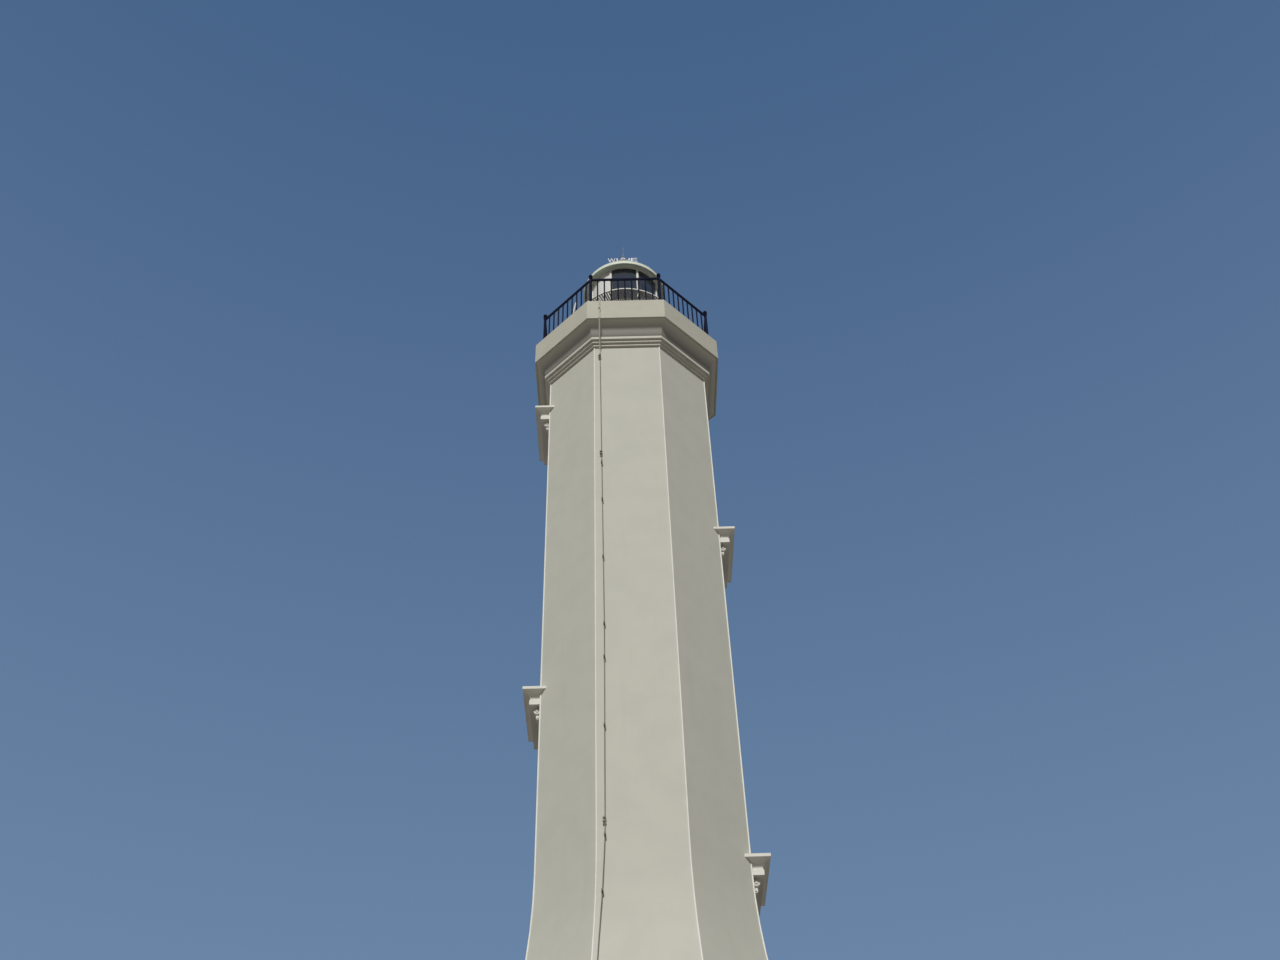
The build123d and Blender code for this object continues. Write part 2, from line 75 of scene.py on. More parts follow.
def foot_of(node: str, axis: int = Z) -> float:
    """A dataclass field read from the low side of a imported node."""
    return field(default_factory=lambda: low(node)[axis])


def top_of(node: str, axis: int = Z) -> float:
    """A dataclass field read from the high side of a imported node."""
    return field(default_factory=lambda: high(node)[axis])


def part_way(node: str, share: float) -> float:
    """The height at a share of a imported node's rise."""
    return low(node).z + share * (high(node).z - low(node).z)


def around(angle: float) -> Matrix:
    """A turn about the tower's axis, from the east towards the north."""
    return Matrix.Rotation(angle, 4, "Z")


def tipped(angle: float, axis: str = "X") -> Matrix:
    """A turn about a level axis, which leans a piece or lays it down."""
    return Matrix.Rotation(angle, 4, axis)


def moved(x: float, y: float, z: float) -> Matrix:
    """A shift."""
    return Matrix.Translation((x, y, z))


FACES = [around(SECTOR * side) for side in range(SIDES)]
CORNERS = [around(SECTOR * (side + 0.5)) for side in range(SIDES)]


def linked(name: str, data: bpy.types.ID) -> bpy.types.Object:
    """A new object in the scene.

    Args:
        name: Its name.
        data: What it shows.

    Returns:
        The object.
    """
    made = bpy.data.objects.new(name, data)
    bpy.context.scene.collection.objects.link(made)
    return made


class Slot(Enum):
    """The record's material slots."""

    WALL = "white_plaster"
    TRIM = "trim_plaster"
    STONE = "plinth_stone"
    TILE = "floor_tile"
    DOOR = "door_wood"
    SASH = "sash_wood"
    PANE = "window_glass"
    IRON = "railing_iron"
    LANTERN = "lantern_paint"
    LENS = "lantern_glass"
    ROOF = "roof_paint"
    VANE = "vane_paint"
    POINTER = "vane_iron"
    WIRE = "conductor_wire"


class Special(Enum):
    """Finishes of single pieces, in place of their slot's."""

    CORNICE = "cornice_plaster"
    HOOD = "hood_plaster"
    # Dark opaque panes that paint the shade under the catwalk.
    LOW_SHADE = "lantern_low_painted_shade"
    DULL = "dull_plate"
    # A lighter plaster that paints a highlight along the shaft's corners.
    CORNER_HIGHLIGHT = "corner_highlight_plaster"


class Wiring:
    """Adds nodes to a tree and feeds their inputs."""

    def __init__(self, tree: bpy.types.NodeTree) -> None:
        """Takes the tree."""
        self.tree = tree

    def feed(self, socket: Socket, value: object) -> None:
        """Links an output to an input, or writes a value or a colour into it.

        Args:
            socket: The input.
            value: An output, or what the input should hold.
        """
        if isinstance(value, bpy.types.NodeSocket):
            self.tree.links.new(value, socket)
        elif socket.type == "RGBA":
            socket.default_value = (*value, 1.0)
        else:
            socket.default_value = value

    def add(self, kind: str, **inputs: object) -> bpy.types.Node:
        """Adds a node.

        Args:
            kind: The node's type after the word ShaderNode.
            inputs: What its inputs get, by their names, with a low line for each space.

        Returns:
            The node.
        """
        node = self.tree.nodes.new(f"ShaderNode{kind}")
        for name, value in inputs.items():
            self.feed(node.inputs[name.replace("_", " ")], value)
        return node

    def ramp(self, factor: Socket, start: float, end: float, first: float = 0.0, last: float = 1.0) -> Socket:
        """Spreads part of a factor's range over another.

        Args:
            factor: The value to spread.
            start: Where the range starts.
            end: Where the range ends.
            first: The result at the start.
            last: The result at the end.

        Returns:
            The spread value.
        """
        node = self.add("MapRange", Value=factor, From_Min=start, From_Max=end, To_Min=first, To_Max=last)
        return node.outputs["Result"]

    def blend(self, factor: Socket, first: object, second: object) -> Socket:
        """Mixes two colours, each a triple or a socket.

        Args:
            factor: How much of the second shows.
            first: The colour at zero.
            second: The colour at one.

        Returns:
            The mixed colour.
        """
        node = self.add("Mix", Factor=factor)
        node.data_type = "RGBA"
        ends = [socket for socket in node.inputs if socket.type == "RGBA"]
        for socket, colour in zip(ends, (first, second)):
            self.feed(socket, colour)
        return next(socket for socket in node.outputs if socket.type == "RGBA")


class NodeSketch(Wiring):
    """Builds one material's node tree around its principled shader."""

    def __init__(self, name: str) -> None:
        """Starts an empty material.

        Args:
            name: The material's name.
        """
        self.material = bpy.data.materials.new(name)
        self.material.use_nodes = True
        super().__init__(self.material.node_tree)
        self.shader = self.tree.nodes["Principled BSDF"]
        self.place = self.add("TexCoord").outputs["Object"]

    def send(self, name: str, value: object) -> None:
        """Feeds one of the shader's inputs."""
        self.feed(self.shader.inputs[name], value)

    def noise(self, scale: float, detail: float = 4.0, rough: float = 0.55,
              stretch: Sequence[float] = (1.0, 1.0, 1.0)) -> Socket:
        """A noise pattern over the piece.

        Args:
            scale: Features per metre.
            detail: Octaves of the noise.
            rough: Strength of the finer octaves.
            stretch: Extra factor along each axis.

        Returns:
            The noise's factor.
        """
        spread = self.add("Mapping", Vector=self.place, Scale=stretch).outputs["Vector"]
        return self.add("TexNoise", Vector=spread, Scale=scale, Detail=detail, Roughness=rough).outputs["Fac"]

    def height(self) -> Socket:
        """How high a point of the piece is, in metres."""
        return self.add("SeparateXYZ", Vector=self.place).outputs["Z"]

    def upturn(self) -> Socket:
        """How far the surface faces upwards: one on a level top, less than zero underneath."""
        return self.add("SeparateXYZ", Vector=self.add("NewGeometry").outputs["Normal"]).outputs["Z"]

    def courses(self, length: float, rise: float, joint: float) -> Socket:
        """A pattern of stone courses seen from the front, light on the joints.

        Args:
            length: Length of a stone in metres.
            rise: Height of a course in metres.
            joint: Width of a joint in metres.

        Returns:
            One on the joints and zero on the stones.
        """
        turned = self.add("Mapping", Vector=self.place, Rotation=(-QUARTER, 0.0, 0.0)).outputs["Vector"]
        brick = self.add("TexBrick", Vector=turned, Scale=1.0, Brick_Width=length, Row_Height=rise,
                         Mortar_Size=joint)
        return brick.outputs["Fac"]

    def rough(self, factor: Socket, smooth: float, coarse: float) -> None:
        """Lets a factor vary the roughness between two values."""
        self.send("Roughness", self.ramp(factor, 0.3, 0.7, smooth, coarse))

    def relief(self, layers: Iterable[tuple[Socket, float, float]]) -> None:
        """Chains bumps into the shader's normal.

        Args:
            layers: Height socket, strength and distance in metres of each bump.
        """
        chain: dict[str, Socket] = {}
        for height, strength, distance in layers:
            bump = self.add("Bump", Height=height, Strength=strength, Distance=distance, **chain)
            chain = {"Normal": bump.outputs["Normal"]}
        self.send("Normal", chain["Normal"])


class Finish:
    """A finish that can be made into a material."""

    def material(self, name: str) -> bpy.types.Material:
        """Makes the finish's material.

        Args:
            name: The material's name.

        Returns:
            The finished material.
        """
        sketch = NodeSketch(name)
        self.paint(sketch)
        return sketch.material

    def paint(self, sketch: NodeSketch) -> None:
        """Lays the finish's own nodes."""
        raise NotImplementedError


@dataclass(frozen=True)
class Plaster(Finish):
    """Masonry paint brushed over trowelled render, with faint rain streaks."""

    body: Colour = (0.585, 0.59, 0.53)
    shade: Colour = (0.56, 0.565, 0.508)
    stain: Colour = (0.49, 0.49, 0.43)
    streaks: float = 0.35
    trowel: float = 0.0025
    grain: float = 0.0008

    def paint(self, sketch: NodeSketch) -> None:
        """Lays mottled paint, its rain streaks, the trowel's waves and the grain.

        Args:
            sketch: The material being made.
        """
        clouds = sketch.noise(1.9, 4.0, 0.6)
        rain = sketch.noise(3.2, 5.0, 0.65, (1.0, 1.0, 0.07))
        trowel = sketch.noise(6.0, 3.0, 0.5, (1.0, 1.0, 0.6))
        grain = sketch.noise(140.0, 2.0)
        mottled = sketch.blend(sketch.ramp(clouds, 0.38, 0.66), self.body, self.shade)
        streaks = sketch.ramp(rain, 0.58, 0.8, 0.0, self.streaks)
        sketch.send("Base Color", sketch.blend(streaks, mottled, self.stain))
        sketch.rough(grain, 0.78, 0.92)
        sketch.relief([(trowel, 0.3, self.trowel), (grain, 0.5, self.grain)])


@dataclass(frozen=True)
class Moulding(Finish):
    """Painted mouldings with patches that have gone a little green."""

    body: Colour = (0.57, 0.563, 0.487)
    shade: Colour = (0.53, 0.525, 0.45)
    algae: Colour = (0.44, 0.46, 0.34)
    # Painted shade, darkest at the first of its heights and fading upwards to its faded colour at the second.
    painted_shade: Optional[Colour] = None
    painted_shade_faded: Colour = (0.66, 0.65, 0.585)
    painted_shade_heights: tuple[float, float] = (0.0, 1.0)
    painted_shade_edge: float = 0.004

    def paint(self, sketch: NodeSketch) -> None:
        """Lays mottled paint, its algae and, where asked, a painted shade that is darkest at a height and
        fades upwards from it.

        Args:
            sketch: The material being made.
        """
        clouds = sketch.noise(2.4, 5.0, 0.65)
        growth = sketch.noise(5.5, 6.0, 0.7, (1.0, 1.0, 0.5))
        grain = sketch.noise(140.0, 2.0)
        mottled = sketch.blend(sketch.ramp(clouds, 0.36, 0.66), self.body, self.shade)
        finish = sketch.blend(sketch.ramp(growth, 0.57, 0.78, 0.0, 0.3), mottled, self.algae)
        # Painted shade: dark from the foot height, fading to the lighter colour at the head; below the foot
        # the paint stays as it is.
        if self.painted_shade is not None:
            foot, head = self.painted_shade_heights
            above = sketch.ramp(sketch.height(), foot, foot + self.painted_shade_edge)
            shade_fade = sketch.blend(sketch.ramp(sketch.height(), foot, head), self.painted_shade, self.painted_shade_faded)
            finish = sketch.blend(above, finish, shade_fade)
        sketch.send("Base Color", finish)
        sketch.rough(grain, 0.78, 0.92)
        sketch.relief([(clouds, 0.25, 0.003), (grain, 0.5, 0.0008)])


@dataclass(frozen=True)
class Stone(Finish):
    """Dressed stone or tile with pores and recessed joints."""

    body: Colour = (0.44, 0.42, 0.37)
    shade: Colour = (0.35, 0.335, 0.30)
    joint: Colour = (0.27, 0.26, 0.235)
    length: float = 0.72
    rise: float = 0.27
    gap: float = 0.006

    def paint(self, sketch: NodeSketch) -> None:
        """Lays the stones' tones, the joints between them and the pores.

        Args:
            sketch: The material being made.
        """
        clouds = sketch.noise(2.2, 5.0, 0.65)
        pores = sketch.noise(60.0, 3.0, 0.7)
        joints = sketch.courses(self.length, self.rise, self.gap)
        mottled = sketch.blend(sketch.ramp(clouds, 0.35, 0.7), self.body, self.shade)
        sketch.send("Base Color", sketch.blend(joints, mottled, self.joint))
        sketch.rough(pores, 0.75, 0.95)
        sunk = sketch.ramp(joints, 0.0, 1.0, 1.0, 0.0)
        sketch.relief([(clouds, 0.3, 0.008), (pores, 0.5, 0.0015), (sunk, 0.8, self.gap)])


@dataclass(frozen=True)
class Paint(Finish):
    """Brushed gloss or satin paint on metal or timber, with worn and rusty spots, and a painted shade on its
    undersides, where asked.
    """

    body: Colour
    shade: Colour
    gloss: float = 0.35
    metal: float = 0.0
    shine: float = 0.5
    wear: Optional[Colour] = None
    painted_underside_shade: Optional[Colour] = None
    grain: Sequence[float] = (1.0, 1.0, 0.2)

    def paint(self, sketch: NodeSketch) -> None:
        """Lays the brushed paint, its worn spots and the painted shade on its undersides.

        Args:
            sketch: The material being made.
        """
        clouds = sketch.noise(5.0, 4.0, 0.6, self.grain)
        brushed = sketch.noise(90.0, 3.0, 0.6, self.grain)
        finish = sketch.blend(sketch.ramp(clouds, 0.35, 0.7), self.body, self.shade)
        if self.wear is not None:
            spots = sketch.noise(14.0, 6.0, 0.75)
            finish = sketch.blend(sketch.ramp(spots, 0.62, 0.72, 0.0, 0.8), finish, self.wear)
        # Painted shade on the faces that turn downwards.
        if self.painted_underside_shade is not None:
            finish = sketch.blend(sketch.ramp(sketch.upturn(), -0.5, -0.9), finish, self.painted_underside_shade)
        sketch.send("Base Color", finish)
        sketch.rough(brushed, self.gloss, self.gloss + 0.18)
        sketch.relief([(clouds, 0.15, 0.002), (brushed, 0.25, 0.0008)])
        sketch.send("Metallic", self.metal)
        sketch.send("Specular IOR Level", self.shine)


@dataclass(frozen=True)
class Glazing(Finish):
    """Window or lantern glass, tinted by the dark room behind it."""

    tint: Colour
    alpha: float = 0.55

    def paint(self, sketch: NodeSketch) -> None:
        """Lays the rippled glass and the dust on it.

        Args:
            sketch: The material being made.
        """
        ripple = sketch.noise(2.5, 2.0)
        dust = sketch.noise(9.0, 5.0, 0.7, (1.0, 1.0, 0.3))
        sketch.relief([(ripple, 0.08, 0.01)])
        darker = tuple(0.8 * part for part in self.tint)
        dusty = tuple(2.2 * part + 0.02 for part in self.tint)
        clear = sketch.blend(sketch.ramp(ripple, 0.4, 0.6), self.tint, darker)
        sketch.send("Base Color", sketch.blend(sketch.ramp(dust, 0.55, 0.8, 0.0, 0.5), clear, dusty))
        sketch.rough(dust, 0.04, 0.12)
        sketch.send("Alpha", self.alpha)
        sketch.send("IOR", 1.5)


class Palette:
    """Every finish, made once and shared by its pieces."""

    finishes: dict[Enum, Finish] = {
        Slot.WALL: Plaster(),
        Slot.TRIM: Moulding(),
        Slot.STONE: Stone(),
        Slot.TILE: Stone(body=(0.34, 0.22, 0.16), shade=(0.27, 0.17, 0.12), length=0.3, rise=0.3),
        Slot.DOOR: Paint(body=(0.10, 0.055, 0.03), shade=(0.065, 0.035, 0.02), gloss=0.4),
        Slot.SASH: Paint(body=(0.55, 0.55, 0.52), shade=(0.47, 0.47, 0.44)),
        Slot.PANE: Glazing(tint=(0.03, 0.04, 0.045), alpha=0.85),
        Slot.IRON: Paint(body=(0.010, 0.012, 0.032), shade=(0.018, 0.018, 0.042), gloss=0.6, shine=0.25,
                         wear=(0.05, 0.03, 0.03)),
        # The lantern's paint turns darker on its undersides, a painted shade.
        Slot.LANTERN: Paint(body=(0.82, 0.825, 0.79), shade=(0.73, 0.735, 0.70), gloss=0.45,
                            wear=(0.55, 0.52, 0.45), painted_underside_shade=(0.32, 0.33, 0.29)),
        Slot.LENS: Glazing(tint=(0.052, 0.060, 0.078), alpha=0.9),
        # The dome's paint turns greener and darker on its undersides, a painted shade.
        Slot.ROOF: Paint(body=(0.86, 0.91, 0.81), shade=(0.76, 0.82, 0.70), gloss=0.5,
                         wear=(0.56, 0.62, 0.46), painted_underside_shade=(0.58, 0.66, 0.61)),
        Slot.VANE: Paint(body=(0.92, 0.92, 0.93), shade=(0.82, 0.82, 0.83)),
        Slot.POINTER: Paint(body=(0.05, 0.035, 0.06), shade=(0.03, 0.02, 0.035), gloss=0.45),
        Slot.WIRE: Paint(body=(0.34, 0.32, 0.28), shade=(0.22, 0.20, 0.175), gloss=0.6, metal=0.2, shine=0.3),
        # The cove under the deck carries a painted shade, darkest at its foot and fading up towards the deck.
        Special.CORNICE: Moulding(
            body=(0.66, 0.65, 0.585), shade=(0.61, 0.60, 0.54), painted_shade=(0.145, 0.138, 0.127),
            painted_shade_heights=(part_way("gallery_cornice", 0.34), high("gallery_cornice").z),
        ),
        Special.HOOD: Moulding(body=(0.76, 0.755, 0.705), shade=(0.71, 0.705, 0.655),
                               algae=(0.58, 0.59, 0.49)),
        # Dark opaque panes that paint the shade under the catwalk.
        Special.LOW_SHADE: Glazing(tint=(0.072, 0.066, 0.068), alpha=1.0),
        Special.DULL: Paint(body=(0.44, 0.44, 0.40), shade=(0.36, 0.33, 0.345), gloss=0.7),
        # A lighter plaster that paints a highlight along the shaft's corners.
        Special.CORNER_HIGHLIGHT: Plaster(body=(0.86, 0.865, 0.83), shade=(0.80, 0.805, 0.77), stain=(0.7, 0.7, 0.65)),
    }
    own_finish: dict[str, Special] = {
        "gallery_cornice": Special.CORNICE,
        **{f"window_hood_{number}": Special.HOOD for number in range(1, 6)},
    }

    def __init__(self) -> None:
        """Makes the materials."""
        self.materials = {key: finish.material(key.value) for key, finish in self.finishes.items()}

    def dress_nodes(self) -> None:
        """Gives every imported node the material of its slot, or its own."""
        for row in frame["record"]["subparts"]:
            node = frame["nodes"][row["node"]]
            key = self.own_finish.get(row["node"], Slot(row["material_slot"]))
            node.data.materials.clear()
            node.data.materials.append(self.materials[key])


def rounded(part: bmesh.types.BMesh, lines: Iterable[bmesh.types.BMEdge], radius: float) -> None:
    """Rounds some edges of a small shape."""
    bmesh.ops.recalc_face_normals(part, faces=part.faces)
    bmesh.ops.bevel(part, geom=list(lines), offset=radius, segments=2, profile=0.5, affect="EDGES",
                    material=-1)


class Form:
    """A piece's mesh while it is being made."""

    def __init__(self, palette: Palette) -> None:
        """Starts an empty shape.

        Args:
            palette: The finishes to choose from.
        """
        self.palette = palette
        self.shape = bmesh.new()

    def join(self, part: bmesh.types.BMesh, place: Matrix) -> None:
        """Moves a small shape into place and adds it.

        Args:
            part: The shape, which is used up.
            place: Where it goes.
        """
        bmesh.ops.transform(part, matrix=place, verts=part.verts)
        carrier = bpy.data.meshes.new("carrier")
        part.to_mesh(carrier)
        part.free()
        self.shape.from_mesh(carrier)
        bpy.data.meshes.remove(carrier)

    def block(self, size: Point, place: Matrix, edge: float = 0.0) -> None:
        """Adds a box round a place, its edges rounded where asked.

        Args:
            size: Its length along X, Y and Z.
            place: Where its centre goes.
            edge: Radius of its edges.
        """
        part = bmesh.new()
        bmesh.ops.create_cube(part, size=1.0)
        bmesh.ops.scale(part, vec=size, verts=part.verts)
        if edge > 0:
            rounded(part, part.edges, edge)
        self.join(part, place)

    def rod(self, radius: float, length: float, place: Matrix, steps: int = 16, edge: float = 0.0,
            tip: Optional[float] = None) -> None:
        """Adds a round bar that starts at a place and runs along its Z axis.

        Args:
            radius: Its radius at the start.
            length: Its length.
            place: Where its start goes.
            steps: Sides of the round.
            edge: Radius of its end edges.
            tip: Its radius at the end, where it tapers.
        """
        part = bmesh.new()
        bmesh.ops.create_cone(part, cap_ends=True, segments=steps, radius1=radius,
                              radius2=radius if tip is None else tip, depth=length)
        bmesh.ops.translate(part, vec=(0.0, 0.0, length / 2), verts=part.verts)
        if edge > 0:
            ends = [(line, *(vert.co.z for vert in line.verts)) for line in part.edges]
            rounded(part, [line for line, first, last in ends if abs(first - last) < length / 2], edge)
        self.join(part, place)

    def strut(self, start: Vector, end: Vector, radius: float, steps: int = 12) -> None:
        """Adds a round bar between two points.

        Args:
            start: Its first end.
            end: Its second end.
            radius: Its radius.
            steps: Sides of the round.
        """
        run = end - start
        turn = run.to_track_quat("Z", "Y").to_matrix().to_4x4()
        self.rod(radius, run.length, Matrix.Translation(start) @ turn, steps)

    def ball(self, radius: float, place: Matrix, steps: int) -> None:
        """Adds a ball.

        Args:
            radius: Its radius.
            place: Where its centre goes.
            steps: Sides of the round.
        """
        part = bmesh.new()
        bmesh.ops.create_uvsphere(part, u_segments=steps, v_segments=steps // 2, radius=radius)
        self.join(part, place)

    def turned(self, outline: Outline, place: Matrix = Matrix.Identity(4), steps: int = 96,
               sweep: float = math.tau) -> None:
        """Adds a closed outline of distance and height, spun about Z from the X axis.

        Args:
            outline: The corners in order.
            place: Where the axis's foot goes.
            steps: How many steps the sweep takes.
            sweep: How far it turns.
        """
        part = bmesh.new()
        corners = [part.verts.new((reach, 0.0, rise)) for reach, rise in outline]
        section = bmesh.ops.contextual_create(part, geom=corners)["faces"]
        full = math.isclose(sweep, math.tau)
        rim = [item for face in section for item in (*face.verts, *face.edges)]
        bmesh.ops.spin(part, geom=rim if full else [*section, *rim], cent=(0.0, 0.0, 0.0),
                       axis=(0.0, 0.0, 1.0), angle=sweep, steps=steps, use_merge=full)
        if full:
            bmesh.ops.delete(part, geom=section, context="FACES_ONLY")
        bmesh.ops.remove_doubles(part, verts=part.verts, dist=1e-6)
        self.join(part, place)

    def band(self, inner: float, outer: float, foot: float, head: float, **turning: object) -> None:
        """Adds a ring or a part of one with a square section.

        Args:
            inner: Its inner radius.
            outer: Its outer radius.
            foot: Its lower edge.
            head: Its upper edge.
            turning: The place, steps or sweep of the turn.
        """
        self.turned(((inner, foot), (outer, foot), (outer, head), (inner, head)), **turning)

    def cut(self, outline: Outline, depth: float, place: Matrix, edge: float = 0.0) -> None:
        """Adds a flat outline in X and Z, thickened about its plane along Y.

        Args:
            outline: The corners in order.
            depth: The thickness.
            place: Where the outline's origin goes.
            edge: Radius of its edges.
        """
        part = bmesh.new()
        corners = [part.verts.new((across, -depth / 2, rise)) for across, rise in outline]
        face = bmesh.ops.contextual_create(part, geom=corners)["faces"]
        grown = bmesh.ops.extrude_face_region(part, geom=face)["geom"]
        back = [item for item in grown if isinstance(item, bmesh.types.BMVert)]
        bmesh.ops.translate(part, vec=(0.0, depth, 0.0), verts=back)
        if edge > 0:
            rounded(part, part.edges, edge)
        self.join(part, place)

    def piece(self, name: str, slot: Slot, body: str = TOWER, finish: Optional[Special] = None) -> None:
        """Closes the shape into an object that rides on a body.

        Args:
            name: The object's name.
            slot: The record's slot of its finish.
            body: The body that carries it.
            finish: A finish of its own, where the slot's doesn't do.
        """
        bmesh.ops.recalc_face_normals(self.shape, faces=self.shape.faces)
        for face in self.shape.faces:
            face.smooth = True
        for line in self.shape.edges:
            line.smooth = line.is_manifold and line.calc_face_angle(math.pi) < SMOOTH_ANGLE
        mesh = bpy.data.meshes.new(name)
        self.shape.to_mesh(mesh)
        self.shape.free()
        mesh.materials.append(self.palette.materials[finish or slot])
        made = linked(name, mesh)
        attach(made, body)
        log.info("%s: %d faces", name, len(mesh.polygons))


@dataclass
class Assembly:
    """A part of the lighthouse that makes its own pieces from the shared finishes."""

    palette: Palette

    def build(self) -> None:
        """Makes the part's pieces."""
        raise NotImplementedError


@dataclass
class Shaft(Assembly):
    """The shaft's lines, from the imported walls, and what runs along them."""

    face: float = top_of("shaft_wall_e", X)
    top: float = top_of("shaft_wall_e")
    flare_top: float = foot_of("shaft_wall_e")
    foot: float = foot_of("base_wall_e")
    flare_radius: float = 13.0
    batter: float = math.radians(8.0)
    bead: float = 0.015
    bead_steps: int = 24

    def reach(self, height: float) -> float:
        """How far the wall's face is from the axis at a height.

        Args:
            height: Metres above the ground.

        Returns:
            The distance in metres.
        """
        drop = self.flare_top - height
        bend = self.flare_radius * math.sin(self.batter)
        if drop <= 0:
            return self.face
        if drop <= bend:
            return self.face + self.flare_radius - math.sqrt(self.flare_radius**2 - drop**2)
        straight = (drop - bend) * math.tan(self.batter)
        return self.face + self.flare_radius * (1 - math.cos(self.batter)) + straight

    def build(self) -> None:
        """Makes the slim beads on the corners, in a lighter plaster that paints a highlight along them."""
        rise = (self.flare_top - self.foot) / self.bead_steps
        heights = [self.top, *(self.flare_top - step * rise for step in range(self.bead_steps + 1))]
        corner = 1 / math.cos(SECTOR / 2)
        spine = [Vector((self.reach(height) * corner, 0.0, height)) for height in heights]
        beads = Form(self.palette)
        for turn in CORNERS:
            for upper, lower in zip(spine, spine[1:]):
                beads.strut(turn @ upper, turn @ lower, self.bead, 8)
        beads.piece("corner_beads", Slot.WALL, finish=Special.CORNER_HIGHLIGHT)


@dataclass
class StairWindows(Assembly):
    """Plaster surrounds, sills and glazing bars of the hooded windows."""

    shaft: Shaft
    hoods: int = 5
    head_below_hood: float = 0.445
    width: float = 0.62
    height: float = 1.10
    recess: float = 0.20
    band: float = 0.12
    band_depth: float = 0.022
    sill_height: float = 0.07
    sill_depth: float = 0.035
    sill_horn: float = 0.03
    bar: float = 0.022
    sash_bar: float = 0.055
    edge: float = 0.006
    sill_edge: float = 0.012

    def turn_of(self, number: int) -> Matrix:
        """The turn from the east face to a hood's own face, for its number from the top."""
        return around(math.pi if high(f"window_hood_{number}").x < 0 else 0.0)

    def build(self) -> None:
        """Makes the trim of all the windows."""
        trim, bars = Form(self.palette), Form(self.palette)
        for number in range(1, self.hoods + 1):
            head = high(f"window_hood_{number}").z - self.head_below_hood
            face = self.shaft.reach(head)
            lean = math.atan2(self.shaft.reach(head - self.height) - face, self.height)
            turn = self.turn_of(number)
            self.surround(trim, turn @ moved(face, 0.0, head) @ tipped(-lean, "Y"))
            self.glazing_bars(bars, turn @ moved(face - self.recess, 0.0, head))
        trim.piece("window_surrounds", Slot.TRIM)
        bars.piece("window_glazing_bars", Slot.SASH)

    def surround(self, trim: Form, place: Matrix) -> None:
        """Adds the raised band and the sill round one opening.

        Args:
            trim: The shape that takes them.
            place: The middle of the opening's head on the wall's face.
        """
        for side in (-1, 1):
            jamb = place @ moved(0.0, side * (self.width + self.band) / 2, -self.height / 2)
            trim.block((2 * self.band_depth, self.band, self.height), jamb, self.edge)
        length = self.width + 2 * (self.band + self.sill_horn)
        sill = place @ moved(0.0, 0.0, -self.height - self.sill_height / 2)
        trim.block((2 * self.sill_depth, length, self.sill_height), sill, self.sill_edge)

    def glazing_bars(self, bars: Form, place: Matrix) -> None:
        """Adds the thin bars that divide one sash's two lights into eight panes.

        Args:
            bars: The shape that takes them.
            place: The middle of the sash's head.
        """
        upright = place @ moved(0.0, 0.0, -self.height / 2)
        bars.block((self.bar, self.bar, self.height - 2 * self.sash_bar), upright)
        light = (self.height - 3 * self.sash_bar) / 2
        for drop in (self.sash_bar + light / 2, 2 * self.sash_bar + 1.5 * light):
            bars.block((self.bar, self.width - 2 * self.sash_bar, self.bar), place @ moved(0.0, 0.0, -drop))


@dataclass
class HoodScrolls(Assembly):
    """The rolled scrolls on the outer cheeks of the hoods' consoles."""

    windows: StairWindows
    rolls: tuple[Point, ...] = ((0.475, 0.070, 0.068), (0.63, 0.046, 0.042))
    inner: float = 0.56
    outer: float = 0.67
    edge: float = 0.008
    neck: float = 0.030
    neck_out: float = 0.2
    eye_share: float = 0.35
    eye_proud: float = 0.014
    eye_edge: float = 0.004

    def build(self) -> None:
        """Makes both rolls, their eyes and the neck between them at each end of every hood."""
        scrolls = Form(self.palette)
        length = self.outer - self.inner
        for number in range(1, self.windows.hoods + 1):
            top = high(f"window_hood_{number}").z
            turn = self.windows.turn_of(number)
            for side in (-1, 1):
                middles = []
                for drop, out, radius in self.rolls:
                    reach = self.windows.shaft.reach(top - drop) + out
                    lying = turn @ moved(reach, side * self.inner, top - drop) @ tipped(-side * QUARTER)
                    scrolls.rod(radius, length, lying, 24, self.edge)
                    scrolls.rod(self.eye_share * radius, length + self.eye_proud, lying, 12, self.eye_edge)
                    across = side * (self.inner + length / 2)
                    middles.append(turn @ Vector((reach + self.neck_out * radius, across, top - drop)))
                scrolls.strut(*middles, self.neck)
        scrolls.piece("hood_scrolls", Slot.TRIM, finish=Special.HOOD)


